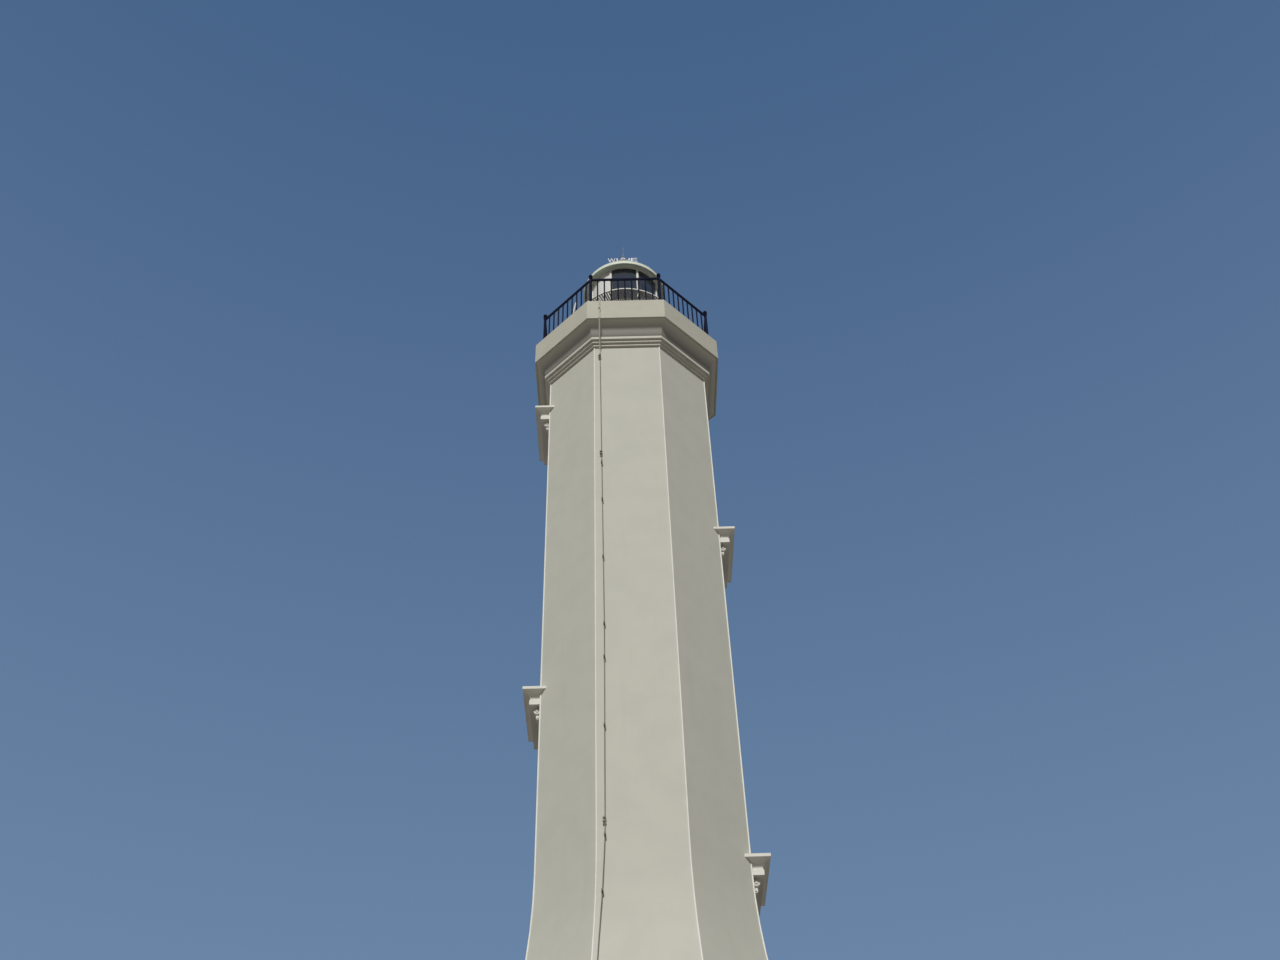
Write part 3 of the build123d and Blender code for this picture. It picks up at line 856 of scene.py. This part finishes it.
@dataclass
class Gallery(Assembly):
    """The railing's small ironwork and the deck's drip and vent pipe."""

    deck: float = top_of("gallery_deck")
    deck_foot: float = foot_of("gallery_deck")
    edge: float = top_of("gallery_deck", X)
    rail: float = field(default_factory=lambda: (high("rail_panel_e").x + low("rail_panel_e").x) / 2)
    rail_top: float = top_of("rail_panel_e")
    ball_top: float = top_of("railing_posts")
    ball: float = 0.052
    bays: int = 10
    handrail: float = 0.026
    handrail_sink: float = 0.002
    baluster: float = 0.018
    foot_gap: float = 0.124
    head_gap: float = 0.05
    collar: float = 0.02
    collar_proud: float = 0.006
    fine_edge: float = 0.004
    post: float = 0.056
    neck_bands: Outline = ((0.006, 0.084), (0.055, 0.076))
    foot_band: tuple[float, float] = (0.09, 0.080)
    post_band: float = 0.014
    band_edge: float = 0.005
    tip_length: float = 0.035
    tip_sink: float = 0.004
    tip_end: float = 0.003
    plate: float = 0.13
    plate_depth: float = 0.012
    plate_edge: float = 0.003
    bolt: float = 0.010
    bolt_length: float = 0.012
    bolt_place: float = 0.046
    drip_bead: float = 0.014
    drip_inset: float = 0.022
    pipe: float = 0.022
    pipe_place: tuple[float, float] = (-1.36, -1.52)
    pipe_lean: float = 0.11
    pipe_height: float = 1.08
    pipe_bends: Sequence[float] = (0.0, 0.3, 0.55, 0.8, 1.0)
    flange: float = 0.045
    flange_height: float = 0.03

    def build(self) -> None:
        """Makes the posts' ironwork, the handrail, the balusters, the drip and the pipe."""
        iron = Form(self.palette)
        for turn in CORNERS:
            self.post_iron(iron, turn @ moved(self.rail / math.cos(SECTOR / 2), 0.0, 0.0))
        iron.piece("railing_collars", Slot.IRON)
        cap = Form(self.palette)
        length = 2 * self.rail * math.tan(SECTOR / 2) - self.post
        for turn in FACES:
            start = turn @ moved(self.rail, -length / 2, self.rail_top - self.handrail_sink)
            cap.rod(self.handrail, length, start @ tipped(-QUARTER), 12)
        cap.piece("railing_handrail", Slot.IRON)
        self.balusters()
        self.drip()
        self.vent_pipe()

    def balusters(self) -> None:
        """Makes the round balusters that sleeve the railing's rods, each with a collar at both ends."""
        sleeves = Form(self.palette)
        pitch = 2 * self.rail * math.tan(SECTOR / 2) / self.bays
        length = self.rail_top - self.head_gap - self.deck - self.foot_gap
        for turn in FACES:
            for rod in range(1, self.bays):
                stand = turn @ moved(self.rail, (rod - self.bays / 2) * pitch, self.deck + self.foot_gap)
                sleeves.rod(self.baluster, length, stand, 10)
                for height in (self.collar, length - 2 * self.collar):
                    ring = stand @ moved(0.0, 0.0, height)
                    sleeves.rod(self.baluster + self.collar_proud, self.collar, ring, 10, self.fine_edge)
        sleeves.piece("railing_balusters", Slot.IRON)

    def post_iron(self, iron: Form, corner: Matrix) -> None:
        """Adds one post's base plate, bolts, collars and tip.

        Args:
            iron: The shape that takes them.
            corner: The post's line, at ground height.
        """
        foot = corner @ moved(0.0, 0.0, self.deck + self.plate_depth)
        base = foot @ moved(0.0, 0.0, -self.plate_depth / 2)
        iron.block((self.plate, self.plate, self.plate_depth), base, self.plate_edge)
        for along in (-self.bolt_place, self.bolt_place):
            for across in (-self.bolt_place, self.bolt_place):
                iron.rod(self.bolt, self.bolt_length, foot @ moved(along, across, 0.0), 6)
        neck = self.ball_top - 2 * self.ball
        bands = [(neck - drop, width) for drop, width in self.neck_bands]
        rise, broad = self.foot_band
        for height, width in (*bands, (self.deck + rise, broad)):
            iron.block((width, width, self.post_band), corner @ moved(0.0, 0.0, height), self.band_edge)
        tip = corner @ moved(0.0, 0.0, self.ball_top - self.tip_sink)
        iron.rod(self.bolt, self.tip_length, tip, 8, tip=self.tip_end)

    def drip(self) -> None:
        """Makes the small bead under the deck's outer edge, mitred at the corners."""
        bead = Form(self.palette)
        corner = Vector(((self.edge - self.drip_inset) / math.cos(SECTOR / 2), 0.0, self.deck_foot))
        for side, turn in enumerate(CORNERS):
            bead.strut(CORNERS[side - 1] @ corner, turn @ corner, self.drip_bead, 8)
            bead.ball(self.drip_bead, turn @ Matrix.Translation(corner), 8)
        bead.piece("deck_drip_bead", Slot.TRIM)

    def vent_pipe(self) -> None:
        """Makes the white pipe that leans a little behind the south-west railing."""
        pipe = Form(self.palette)
        foot = Vector((*self.pipe_place, self.deck))
        bends = [foot + Vector((self.pipe_lean * share**2, 0.0, self.pipe_height * share))
                 for share in self.pipe_bends]
        for start, end in zip(bends, bends[1:]):
            pipe.strut(start, end, self.pipe, 14)
            pipe.ball(self.pipe, Matrix.Translation(end), 14)
        pipe.rod(self.flange, self.flange_height, Matrix.Translation(foot), 16, self.fine_edge)
        pipe.piece("gallery_vent_pipe", Slot.LANTERN)


@dataclass
class Lantern(Assembly):
    """What the lantern carries: low panels, brackets, slats, caps, roof seams and door furniture."""

    deck: float = top_of("gallery_deck")
    catwalk_foot: float = foot_of("catwalk")
    catwalk_top: float = top_of("catwalk")
    catwalk_reach: float = top_of("catwalk", X)
    glazing_foot: float = foot_of("lantern_mullions")
    glazing_top: float = top_of("lantern_mullions")
    eave: float = top_of("lantern_roof", X)
    roof_foot: float = foot_of("lantern_roof")
    neck_top: float = top_of("lantern_roof")
    wall: float = top_of("lantern_wall", X)
    glazing_reach: float = top_of("lantern_head", X)
    mullion: float = 0.06
    neck: float = 0.11
    neck_height: float = 0.09
    eave_height: float = 0.07
    drip: float = 0.05
    bead: float = 0.012
    seam: float = 0.010
    fine_edge: float = 0.002
    gap: float = 0.003
    side_gap: float = 0.004
    panel_sink: float = 0.005
    board_depth: float = 0.010
    board_seam: tuple[float, float] = (0.008, 0.014)
    rail_depth: float = 0.020
    rail_height: float = 0.06
    bracket_drop: float = 0.09
    bracket_depth: float = 0.014
    bracket_toe: float = 0.012
    bracket_edge: float = 0.003
    rim: float = 0.02
    white_sectors: tuple[int, ...] = (4, 5)
    door_sector: int = 2
    slat_count: int = 120
    slat_width: float = 0.042
    slat_depth: float = 0.006
    slat_drop: float = 0.007
    seams: int = 16
    bead_sink: float = 0.006
    lip: tuple[float, float] = (0.008, 0.005)
    lip_rise: float = 0.03
    collar_drop: float = 0.02
    collar_reach: tuple[float, float] = (0.01, 0.022)
    collar_rise: tuple[float, float] = (0.02, 0.018)
    cover: tuple[float, float] = (0.014, 0.034)
    cover_proud: float = 0.005
    cover_edge: float = 0.004
    end_block: Point = (0.03, 0.078, 0.07)
    end_inset: float = 0.045
    end_edge: float = 0.006
    bolt: float = 0.007
    bolt_proud: float = 0.014
    bolt_spread: float = 0.022
    door_margin: tuple[float, float] = (0.14, 0.2)
    door_panel: float = 0.016
    door_panel_proud: float = 0.003
    door_edge: float = 0.006
    hinges: Point = (0.15, 0.5, 0.85)
    hinge: float = 0.012
    hinge_length: float = 0.10
    hinge_inset: float = 0.03
    handle: Point = (0.12, 0.014, 0.018)
    handle_height: float = 1.0
    handle_inset: float = 0.06
    handle_place: tuple[float, float] = (-0.05, 0.045)
    handle_edge: float = 0.005
    rose: float = 0.024
    rose_depth: float = 0.012
    spindle: float = 0.008
    spindle_length: float = 0.05

    def build(self) -> None:
        """Makes every group of the lantern's trim."""
        self.low_panels()
        self.brackets()
        self.slats()
        self.mullion_covers()
        self.roof_seams()
        self.roof_beads()
        self.door_furniture()

    def low_panels(self) -> None:
        """Makes boards to the west between the pilasters and elsewhere dark opaque panes that paint the shade
        under the catwalk, each over a foot rail that is dark under the panes.
        """
        margin = (self.mullion / 2 + self.side_gap) / self.wall
        foot, head = self.deck + self.gap, self.catwalk_foot - self.gap
        boards, panes, rails, dark_rails = (Form(self.palette) for _ in range(4))
        inner = self.wall - self.panel_sink
        for sector in range(SIDES):
            if sector == self.door_sector:
                continue
            white = sector in self.white_sectors
            start = around(SECTOR * (sector - 0.5) + margin)
            turning = {"place": start, "steps": 12, "sweep": SECTOR - 2 * margin}
            (boards if white else panes).band(inner, self.wall + self.board_depth, foot, head, **turning)
            # Under the painted shade the foot rail is dark as well.
            rail = rails if white else dark_rails
            rail.band(inner, self.wall + self.rail_depth, foot, foot + self.rail_height, **turning)
            for share in (0.25, 0.5, 0.75) if white else ():
                turn = around(SECTOR * (sector - 0.5 + share))
                seam = turn @ moved(self.wall + self.board_depth, 0.0, (foot + head) / 2)
                boards.block((*self.board_seam, head - foot), seam, self.fine_edge)
        boards.piece("lantern_boards", Slot.LANTERN)
        panes.piece("lantern_low_shade_panes", Slot.LENS, finish=Special.LOW_SHADE)
        rails.piece("lantern_rails", Slot.LANTERN)
        dark_rails.piece("lantern_dark_rails", Slot.IRON)

    def brackets(self) -> None:
        """Makes a curved bracket under the catwalk at every pilaster."""
        inner, reach = self.wall + self.rim, self.catwalk_reach - self.rim
        hollow = self.bracket_drop - self.bracket_toe
        outline = [(inner, self.catwalk_foot), (inner, self.catwalk_foot - self.bracket_drop)]
        for step in range(1, 7):
            angle = step / 6 * QUARTER
            rise = self.catwalk_foot - self.bracket_toe - hollow * math.cos(angle)
            outline.append((inner + (reach - inner) * math.sin(angle), rise))
        outline.append((reach, self.catwalk_foot))
        supports = Form(self.palette)
        for turn in CORNERS:
            supports.cut(outline, self.bracket_depth, turn, self.bracket_edge)
        supports.piece("catwalk_brackets", Slot.LANTERN)

    def slats(self) -> None:
        """Makes the catwalk's dull slats, with a slot between neighbours."""
        slats = Form(self.palette)
        inner, outer = self.wall - self.rim, self.catwalk_reach - self.rim
        middle = moved((inner + outer) / 2, 0.0, self.catwalk_top - self.slat_drop)
        for slat in range(self.slat_count):
            turn = around(math.tau * slat / self.slat_count)
            slats.block((outer - inner, self.slat_width, self.slat_depth), turn @ middle)
        slats.piece("catwalk_slats", Slot.LANTERN, finish=Special.DULL)

    def mullion_covers(self) -> None:
        """Makes the cover strips and the bolted end blocks on the glazing's uprights."""
        caps = Form(self.palette)
        middle = (self.glazing_foot + self.glazing_top) / 2
        length = self.glazing_top - self.glazing_foot
        for turn in CORNERS:
            upright = turn @ moved(self.glazing_reach, 0.0, 0.0)
            caps.block((*self.cover, length), upright @ moved(self.cover_proud, 0.0, middle), self.cover_edge)
            for height in (self.glazing_foot + self.end_inset, self.glazing_top - self.end_inset):
                caps.block(self.end_block, upright @ moved(0.0, 0.0, height), self.end_edge)
                for across in (-self.bolt_spread, self.bolt_spread):
                    out = upright @ moved(self.bolt_proud, across, height) @ tipped(QUARTER, "Y")
                    caps.rod(self.bolt, self.bolt, out, 6)
        caps.piece("mullion_covers", Slot.LANTERN)

    def roof_seams(self) -> None:
        """Makes the rolled seams of the dome, each along the dome's own arc."""
        foot = self.roof_foot + self.eave_height
        rise = self.neck_top - self.neck_height - foot
        reach = self.eave - self.eave_height
        sink = (reach**2 - self.neck**2 - rise**2) / (2 * rise)
        radius = math.hypot(reach, sink)
        start, end = math.atan2(sink, reach), math.atan2(sink + rise, self.neck)
        angles = [start + (end - start) * step / 10 for step in range(11)]
        arc = [Vector((radius * math.cos(angle), 0.0, foot - sink + radius * math.sin(angle)))
               for angle in angles]
        ribs = Form(self.palette)
        for rib in range(self.seams):
            turn = around(math.tau * (rib + 0.5) / self.seams)
            for lower, upper in zip(arc, arc[1:]):
                ribs.strut(turn @ lower, turn @ upper, self.seam, 8)
        ribs.piece("roof_seams", Slot.ROOF)

    def roof_beads(self) -> None:
        """Makes the eave's drip edge with its beads and the neck's collar."""
        beads = Form(self.palette)
        drip_foot = self.roof_foot - self.drip
        around_bead = [(self.bead * math.cos(math.tau * step / 8), self.bead * math.sin(math.tau * step / 8))
                       for step in range(8)]
        for height in (drip_foot, self.roof_foot + self.eave_height - self.bead):
            beads.turned([(self.eave - self.bead_sink + out, height + up) for out, up in around_bead])
        within, without = self.lip
        beads.band(self.eave - within, self.eave + without, drip_foot, self.roof_foot + self.lip_rise)
        collar = self.neck_top - self.collar_drop
        (within, without), (under, over) = self.collar_reach, self.collar_rise
        beads.band(self.neck - within, self.neck + without, collar - under, collar + over, steps=48)
        beads.piece("roof_beads", Slot.ROOF)

    def door_furniture(self) -> None:
        """Makes the lantern door's panel, hinges and handle, on the north side."""
        box_low, box_high = low("lantern_door"), high("lantern_door")
        face = box_high.y
        size = box_high - box_low
        plates, metal = Form(self.palette), Form(self.palette)
        middle = moved(0.0, face + self.door_panel_proud, box_low.z + size.z / 2)
        across, upward = self.door_margin
        plates.block((size.x - across, self.door_panel, size.z - upward), middle, self.door_edge)
        for share in self.hinges:
            height = box_low.z + share * size.z - self.hinge_length / 2
            knuckle = moved(box_low.x + self.hinge_inset, face + self.hinge, height)
            metal.rod(self.hinge, self.hinge_length, knuckle, 12, self.fine_edge)
        knob = moved(box_high.x - self.handle_inset, face, box_low.z + self.handle_height)
        metal.rod(self.rose, self.rose_depth, knob @ tipped(-QUARTER), 16, self.fine_edge)
        metal.block(self.handle, knob @ moved(*self.handle_place, 0.0), self.handle_edge)
        metal.rod(self.spindle, self.spindle_length, knob @ tipped(-QUARTER), 10)
        plates.piece("lantern_door_panel", Slot.LANTERN)
        metal.piece("lantern_door_furniture", Slot.IRON)


@dataclass
class WindVane(Assembly):
    """The compass letters on the arms and the pointer's small parts."""

    arm: float = top_of("vane_mast", X)
    mast_top: float = foot_of("vane_pointer")
    arm_drop: float = 0.105
    letter: float = 0.20
    letters: tuple[tuple[str, float, float], ...] = (
        ("E", 0.0, 0.19), ("N", QUARTER, 0.19), ("W", math.pi, 0.22), ("S", -QUARTER, 0.18),
    )
    letter_depth: float = 0.004
    post: float = 0.017
    post_edge: float = 0.003
    gap: float = 0.03
    rib: float = 0.008
    rib_insets: tuple[float, float] = (0.06, 0.05)
    cap: float = 0.018
    cap_sink: float = 0.002
    collar: float = 0.014
    collar_place: float = 0.045

    def build(self) -> None:
        """Makes the letters, their posts and the pointer's rib and cap."""
        height = self.mast_top - self.arm_drop
        posts = Form(self.palette)
        for sign, angle, width in self.letters:
            middle = around(angle) @ Vector((self.arm + self.gap + width / 2, 0.0, height))
            facing = around(0.0 if sign in ("E", "W") else QUARTER) @ tipped(QUARTER)
            self.compass_letter(sign, width, Matrix.Translation(middle) @ facing)
            tip = around(angle) @ moved(self.arm - self.post, 0.0, height)
            posts.block((2 * self.post, self.letter_depth, self.letter), tip, self.post_edge)
        posts.piece("vane_letter_posts", Slot.VANE)
        self.pointer_parts()

    def compass_letter(self, sign: str, width: float, place: Matrix) -> None:
        """Makes one compass letter beyond the end of its arm, to read from the south or the east.

        Args:
            sign: The letter.
            width: How wide the letter is.
            place: Its middle and the way it faces.
        """
        data = bpy.data.curves.new("letter", "FONT")
        data.body = sign
        data.extrude = 0.5
        words = linked("letter", data)
        bpy.context.view_layer.update()
        outline = bpy.data.meshes.new_from_object(words.evaluated_get(bpy.context.evaluated_depsgraph_get()))
        bpy.data.objects.remove(words)
        shape = bmesh.new()
        shape.from_mesh(outline)
        bpy.data.meshes.remove(outline)
        bmesh.ops.remove_doubles(shape, verts=shape.verts, dist=1e-5)
        least = Vector([min(v.co[axis] for v in shape.verts) for axis in (X, Y, Z)])
        most = Vector([max(v.co[axis] for v in shape.verts) for axis in (X, Y, Z)])
        spread = most - least
        sized = Matrix.Diagonal((width / spread.x, self.letter / spread.y, self.letter_depth / spread.z, 1.0))
        form = Form(self.palette)
        form.join(shape, place @ sized @ Matrix.Translation(-(least + most) / 2))
        form.piece(f"vane_letter_{sign}", Slot.VANE)

    def pointer_parts(self) -> None:
        """Makes the turning pointer's round rib, its cap and its two collars."""
        box_low, box_high = low("vane_pointer"), high("vane_pointer")
        middle = (box_low.z + box_high.z) / 2
        parts = Form(self.palette)
        behind, before = self.rib_insets
        tail, nose = Vector((0.0, box_low.y + behind, middle)), Vector((0.0, box_high.y - before, middle))
        parts.strut(tail, nose, self.rib, 10)
        parts.ball(self.cap, moved(0.0, 0.0, box_high.z - self.cap_sink), 16)
        for along in (-self.collar_place, self.collar_place):
            parts.ball(self.collar, moved(0.0, along, middle), 12)
        parts.piece("pointer_rib", Slot.POINTER, VANE)


@dataclass
class Conductor(Assembly):
    """The pale cover of the wire's upper end and the lapped joints below it."""

    deck: float = top_of("gallery_deck")
    deck_foot: float = foot_of("gallery_deck")
    deck_face: float = foot_of("gallery_deck", Y)
    wall_face: float = foot_of("shaft_wall_s", Y)
    wall_top: float = top_of("shaft_wall_s")
    offset: float = 0.65
    standoff: float = 0.04
    cover: float = 0.018
    cover_drop: float = 0.02
    elbow_swell: float = 1.15
    knee_drop: float = 0.15
    joints: tuple[tuple[float, float], ...] = ((-0.65, 26.03), (-0.6355, 22.65), (-0.637, 13.47))
    joint_length: float = 0.12
    saddle: Point = (0.044, 0.086, 0.044)
    saddle_edge: float = 0.006
    clamp: Point = (0.062, 0.030, 0.032)
    clamp_share: float = 0.6
    clamp_proud: float = 0.004
    clamp_edge: float = 0.005
    lap: float = 0.022
    lap_wire: float = 0.009
    bolt: float = 0.009
    bolt_length: float = 0.012

    def build(self) -> None:
        """Makes the cover, its elbows, the saddle over its clip and the joints."""
        edge_wire, wall_wire = self.deck_face - self.standoff, self.wall_face - self.standoff
        points = [
            Vector((-self.offset, edge_wire, self.deck - self.cover_drop)),
            Vector((-self.offset, edge_wire, self.deck_foot - self.standoff)),
            Vector((-self.offset, wall_wire, self.wall_top - self.knee_drop)),
            Vector((-self.offset, wall_wire, self.joints[0][1] + self.joint_length / 2)),
        ]
        cover = Form(self.palette)
        for start, end in zip(points, points[1:]):
            cover.strut(start, end, self.cover, 14)
        for elbow in points[1:-1]:
            cover.ball(self.cover * self.elbow_swell, Matrix.Translation(elbow), 14)
        clip = moved(-self.offset, edge_wire, (self.deck + self.deck_foot) / 2)
        cover.block(self.saddle, clip, self.saddle_edge)
        cover.piece("conductor_cover", Slot.TRIM)
        laps = Form(self.palette)
        for across, height in self.joints:
            self.lapped_joint(laps, Vector((across, wall_wire, height)))
        laps.piece("conductor_joints", Slot.WIRE)

    def lapped_joint(self, laps: Form, middle: Vector) -> None:
        """Adds two wire ends side by side, held by two clamps with bolts.

        Args:
            laps: The shape that takes them.
            middle: The joint's middle.
        """
        half = Vector((0.0, 0.0, self.joint_length / 2))
        side = Vector((self.lap, 0.0, 0.0))
        laps.strut(middle - side - half, middle - side + half, self.lap_wire, 10)
        for share in (-self.clamp_share, self.clamp_share):
            spot = middle - side / 2 + share * half - Vector((0.0, self.clamp_proud, 0.0))
            place = Matrix.Translation(spot)
            laps.block(self.clamp, place, self.clamp_edge)
            head = place @ moved(0.0, -self.bolt_length, 0.0) @ tipped(QUARTER)
            laps.rod(self.bolt, self.bolt_length, head, 6)


@dataclass
class Entrance(Assembly):
    """The doorway's surround and threshold, and the door's furniture."""

    shaft: Shaft
    width: float = 1.0
    height: float = 2.2
    band: float = 0.16
    band_depth: float = 0.03
    edge: float = 0.008
    threshold_gap: float = 0.01
    threshold_depth: float = 0.42
    threshold_height: float = 0.03
    threshold_inset: float = 0.16
    threshold_rise: float = 0.012
    step_edge: float = 0.006
    hinges: Point = (0.12, 0.5, 0.88)
    hinge: float = 0.014
    hinge_length: float = 0.14
    hinge_inset: float = 0.02
    hinge_proud: float = 0.012
    strap: Point = (0.34, 0.008, 0.045)
    strap_proud: float = 0.002
    iron_edge: float = 0.003
    lock_plate: Point = (0.05, 0.010, 0.24)
    lock_height: float = 1.02
    lock_inset: float = 0.055
    lock_proud: float = 0.003
    lock_edge: float = 0.004
    lever: Point = (0.13, 0.016, 0.020)
    lever_rise: float = 0.03
    lever_place: tuple[float, float] = (-0.05, -0.055)
    lever_edge: float = 0.006
    spindle: float = 0.010
    spindle_length: float = 0.055

    def build(self) -> None:
        """Makes the surround, the threshold and the furniture on the south side."""
        foot = low("entrance_door").z
        face = self.shaft.reach(foot)
        lean = math.atan2(face - self.shaft.reach(foot + self.height), self.height)
        place = around(-QUARTER) @ moved(face, 0.0, foot) @ tipped(-lean, "Y")
        trim = Form(self.palette)
        depth, full = 2 * self.band_depth, self.height + self.band
        for side in (-1, 1):
            jamb = place @ moved(0.0, side * (self.width + self.band) / 2, full / 2)
            trim.block((depth, self.band, full), jamb, self.edge)
        lintel = place @ moved(0.0, 0.0, self.height + self.band / 2)
        trim.block((depth, self.width, self.band), lintel, self.edge)
        trim.piece("door_surround", Slot.TRIM)
        step = Form(self.palette)
        size = (self.width - self.threshold_gap, self.threshold_depth, self.threshold_height)
        middle = moved(0.0, -face + self.threshold_inset, foot + self.threshold_rise)
        step.block(size, middle, self.step_edge)
        step.piece("door_threshold", Slot.STONE)
        self.furniture()

    def furniture(self) -> None:
        """Makes the hinges, the lock plate and the lever handle."""
        box_low, box_high = low("entrance_door"), high("entrance_door")
        face = box_low.y
        metal = Form(self.palette)
        for share in self.hinges:
            height = box_low.z + share * (box_high.z - box_low.z)
            side = box_low.x + self.hinge_inset
            knuckle = moved(side, face - self.hinge_proud, height - self.hinge_length / 2)
            metal.rod(self.hinge, self.hinge_length, knuckle, 12, self.iron_edge)
            strap = moved(side + self.strap[X] / 2, face - self.strap_proud, height)
            metal.block(self.strap, strap, self.iron_edge)
        lock = moved(box_high.x - self.lock_inset, face - self.lock_proud, box_low.z + self.lock_height)
        metal.block(self.lock_plate, lock, self.lock_edge)
        spindle = lock @ moved(0.0, 0.0, self.lever_rise) @ tipped(QUARTER)
        metal.rod(self.spindle, self.spindle_length, spindle, 12)
        metal.block(self.lever, lock @ moved(*self.lever_place, self.lever_rise), self.lever_edge)
        metal.piece("entrance_door_furniture", Slot.IRON)


@dataclass
class Studio:
    """The camera at the photograph's place, the floor, the backdrop and the sun."""

    eye: Point = (-0.2366, -21.582, 1.6)
    heading: float = math.radians(1.2458)
    pitch: float = math.radians(45.725)
    roll: float = math.radians(2.281)
    focal_share: float = 1300 / 1280
    sensor: float = 36.0
    sight: float = 500.0
    backdrop_low: Colour = (0.156, 0.250, 0.395)
    backdrop_high: Colour = (0.052, 0.112, 0.236)
    backdrop_rise: tuple[float, float] = (0.35, 0.95)
    floor_reach: float = 400.0
    floor_bounce: Colour = (0.27, 0.25, 0.225)
    floor_seen: Colour = (0.52, 0.52, 0.50)
    sun_turn: Point = (math.radians(48.0), 0.0, math.radians(-6.6))
    sun_colour: Colour = (1.0, 0.975, 0.93)
    sun_strength: float = 3.0
    sun_spread: float = math.radians(9.0)
    sky_colour: Colour = (0.93, 0.97, 1.0)
    sky_light: float = 0.13

    def build(self) -> None:
        """Sets up the whole studio."""
        bpy.context.scene.view_settings.view_transform = "Standard"
        self.place_camera()
        self.lay_floor()
        self.hang_sun()
        self.wrap_sky()

    def place_camera(self) -> None:
        """Sets the camera low in front of the tower, looking up."""
        data = bpy.data.cameras.new("camera")
        data.sensor_width = self.sensor
        data.lens = self.sensor * self.focal_share
        data.clip_end = self.sight
        camera = linked("camera", data)
        turn = around(-self.heading) @ tipped(QUARTER + self.pitch)
        camera.matrix_world = Matrix.Translation(self.eye) @ turn @ around(-self.roll)
        bpy.context.scene.camera = camera

    def lay_floor(self) -> None:
        """Lays a plain floor under the plinth, pale to the camera and softer as a bounce."""
        shape = bmesh.new()
        bmesh.ops.create_grid(shape, x_segments=1, y_segments=1, size=self.floor_reach)
        mesh = bpy.data.meshes.new("floor")
        shape.to_mesh(mesh)
        shape.free()
        sketch = NodeSketch("pale_floor")
        seen = sketch.add("LightPath").outputs["Is Camera Ray"]
        sketch.send("Base Color", sketch.blend(seen, self.floor_bounce, self.floor_seen))
        sketch.send("Roughness", 0.95)
        mesh.materials.append(sketch.material)
        linked("floor", mesh)

    def hang_sun(self) -> None:
        """Lights the tower with a soft sun, high in front and a little to the left."""
        data = bpy.data.lights.new("sun", "SUN")
        data.energy = self.sun_strength
        data.angle = self.sun_spread
        data.color = self.sun_colour
        lamp = linked("sun", data)
        lamp.rotation_euler = self.sun_turn
        lamp.visible_glossy = False

    def wrap_sky(self) -> None:
        """Makes the world an even light that the camera and the glass see as a blue backdrop."""
        world = bpy.data.worlds.new("studio")
        bpy.context.scene.world = world
        world.use_nodes = True
        wiring = Wiring(world.node_tree)
        light = wiring.tree.nodes["Background"]
        wiring.feed(light.inputs["Color"], self.sky_colour)
        wiring.feed(light.inputs["Strength"], self.sky_light)
        seen = wiring.add("Background", Color=self.backdrop_colour(wiring), Strength=1.0)
        rays = wiring.add("LightPath").outputs
        either = rays["Is Camera Ray"]
        for other in ("Is Glossy Ray", "Is Transmission Ray"):
            highest = wiring.add("Math")
            highest.operation = "MAXIMUM"
            wiring.feed(highest.inputs[0], either)
            wiring.feed(highest.inputs[1], rays[other])
            either = highest.outputs[0]
        mix = wiring.add("MixShader")
        for socket, value in zip(mix.inputs, (either, light.outputs[0], seen.outputs[0])):
            wiring.feed(socket, value)
        wiring.feed(wiring.tree.nodes["World Output"].inputs["Surface"], mix.outputs[0])

    def backdrop_colour(self, wiring: Wiring) -> Socket:
        """A plain blue that deepens with height.

        Args:
            wiring: The world's node tree.

        Returns:
            The colour.
        """
        direction = wiring.add("TexCoord").outputs["Generated"]
        rise = wiring.ramp(wiring.add("SeparateXYZ", Vector=direction).outputs["Z"], *self.backdrop_rise)
        return wiring.blend(rise, self.backdrop_low, self.backdrop_high)


def main() -> None:
    """Builds the studio and the tower's dress, and reports each step."""
    logging.basicConfig(level=logging.INFO, format="%(name)s: %(message)s")
    Studio().build()
    palette = Palette()
    palette.dress_nodes()
    log.info("dressed %d packed nodes", len(frame["nodes"]))
    shaft = Shaft(palette)
    windows = StairWindows(palette, shaft)
    assemblies: tuple[Assembly, ...] = (
        shaft,
        windows,
        HoodScrolls(palette, windows),
        Gallery(palette),
        Lantern(palette),
        WindVane(palette),
        Conductor(palette),
        Entrance(palette, shaft),
    )
    for assembly in assemblies:
        assembly.build()


if __name__ == "__main__":
    main()
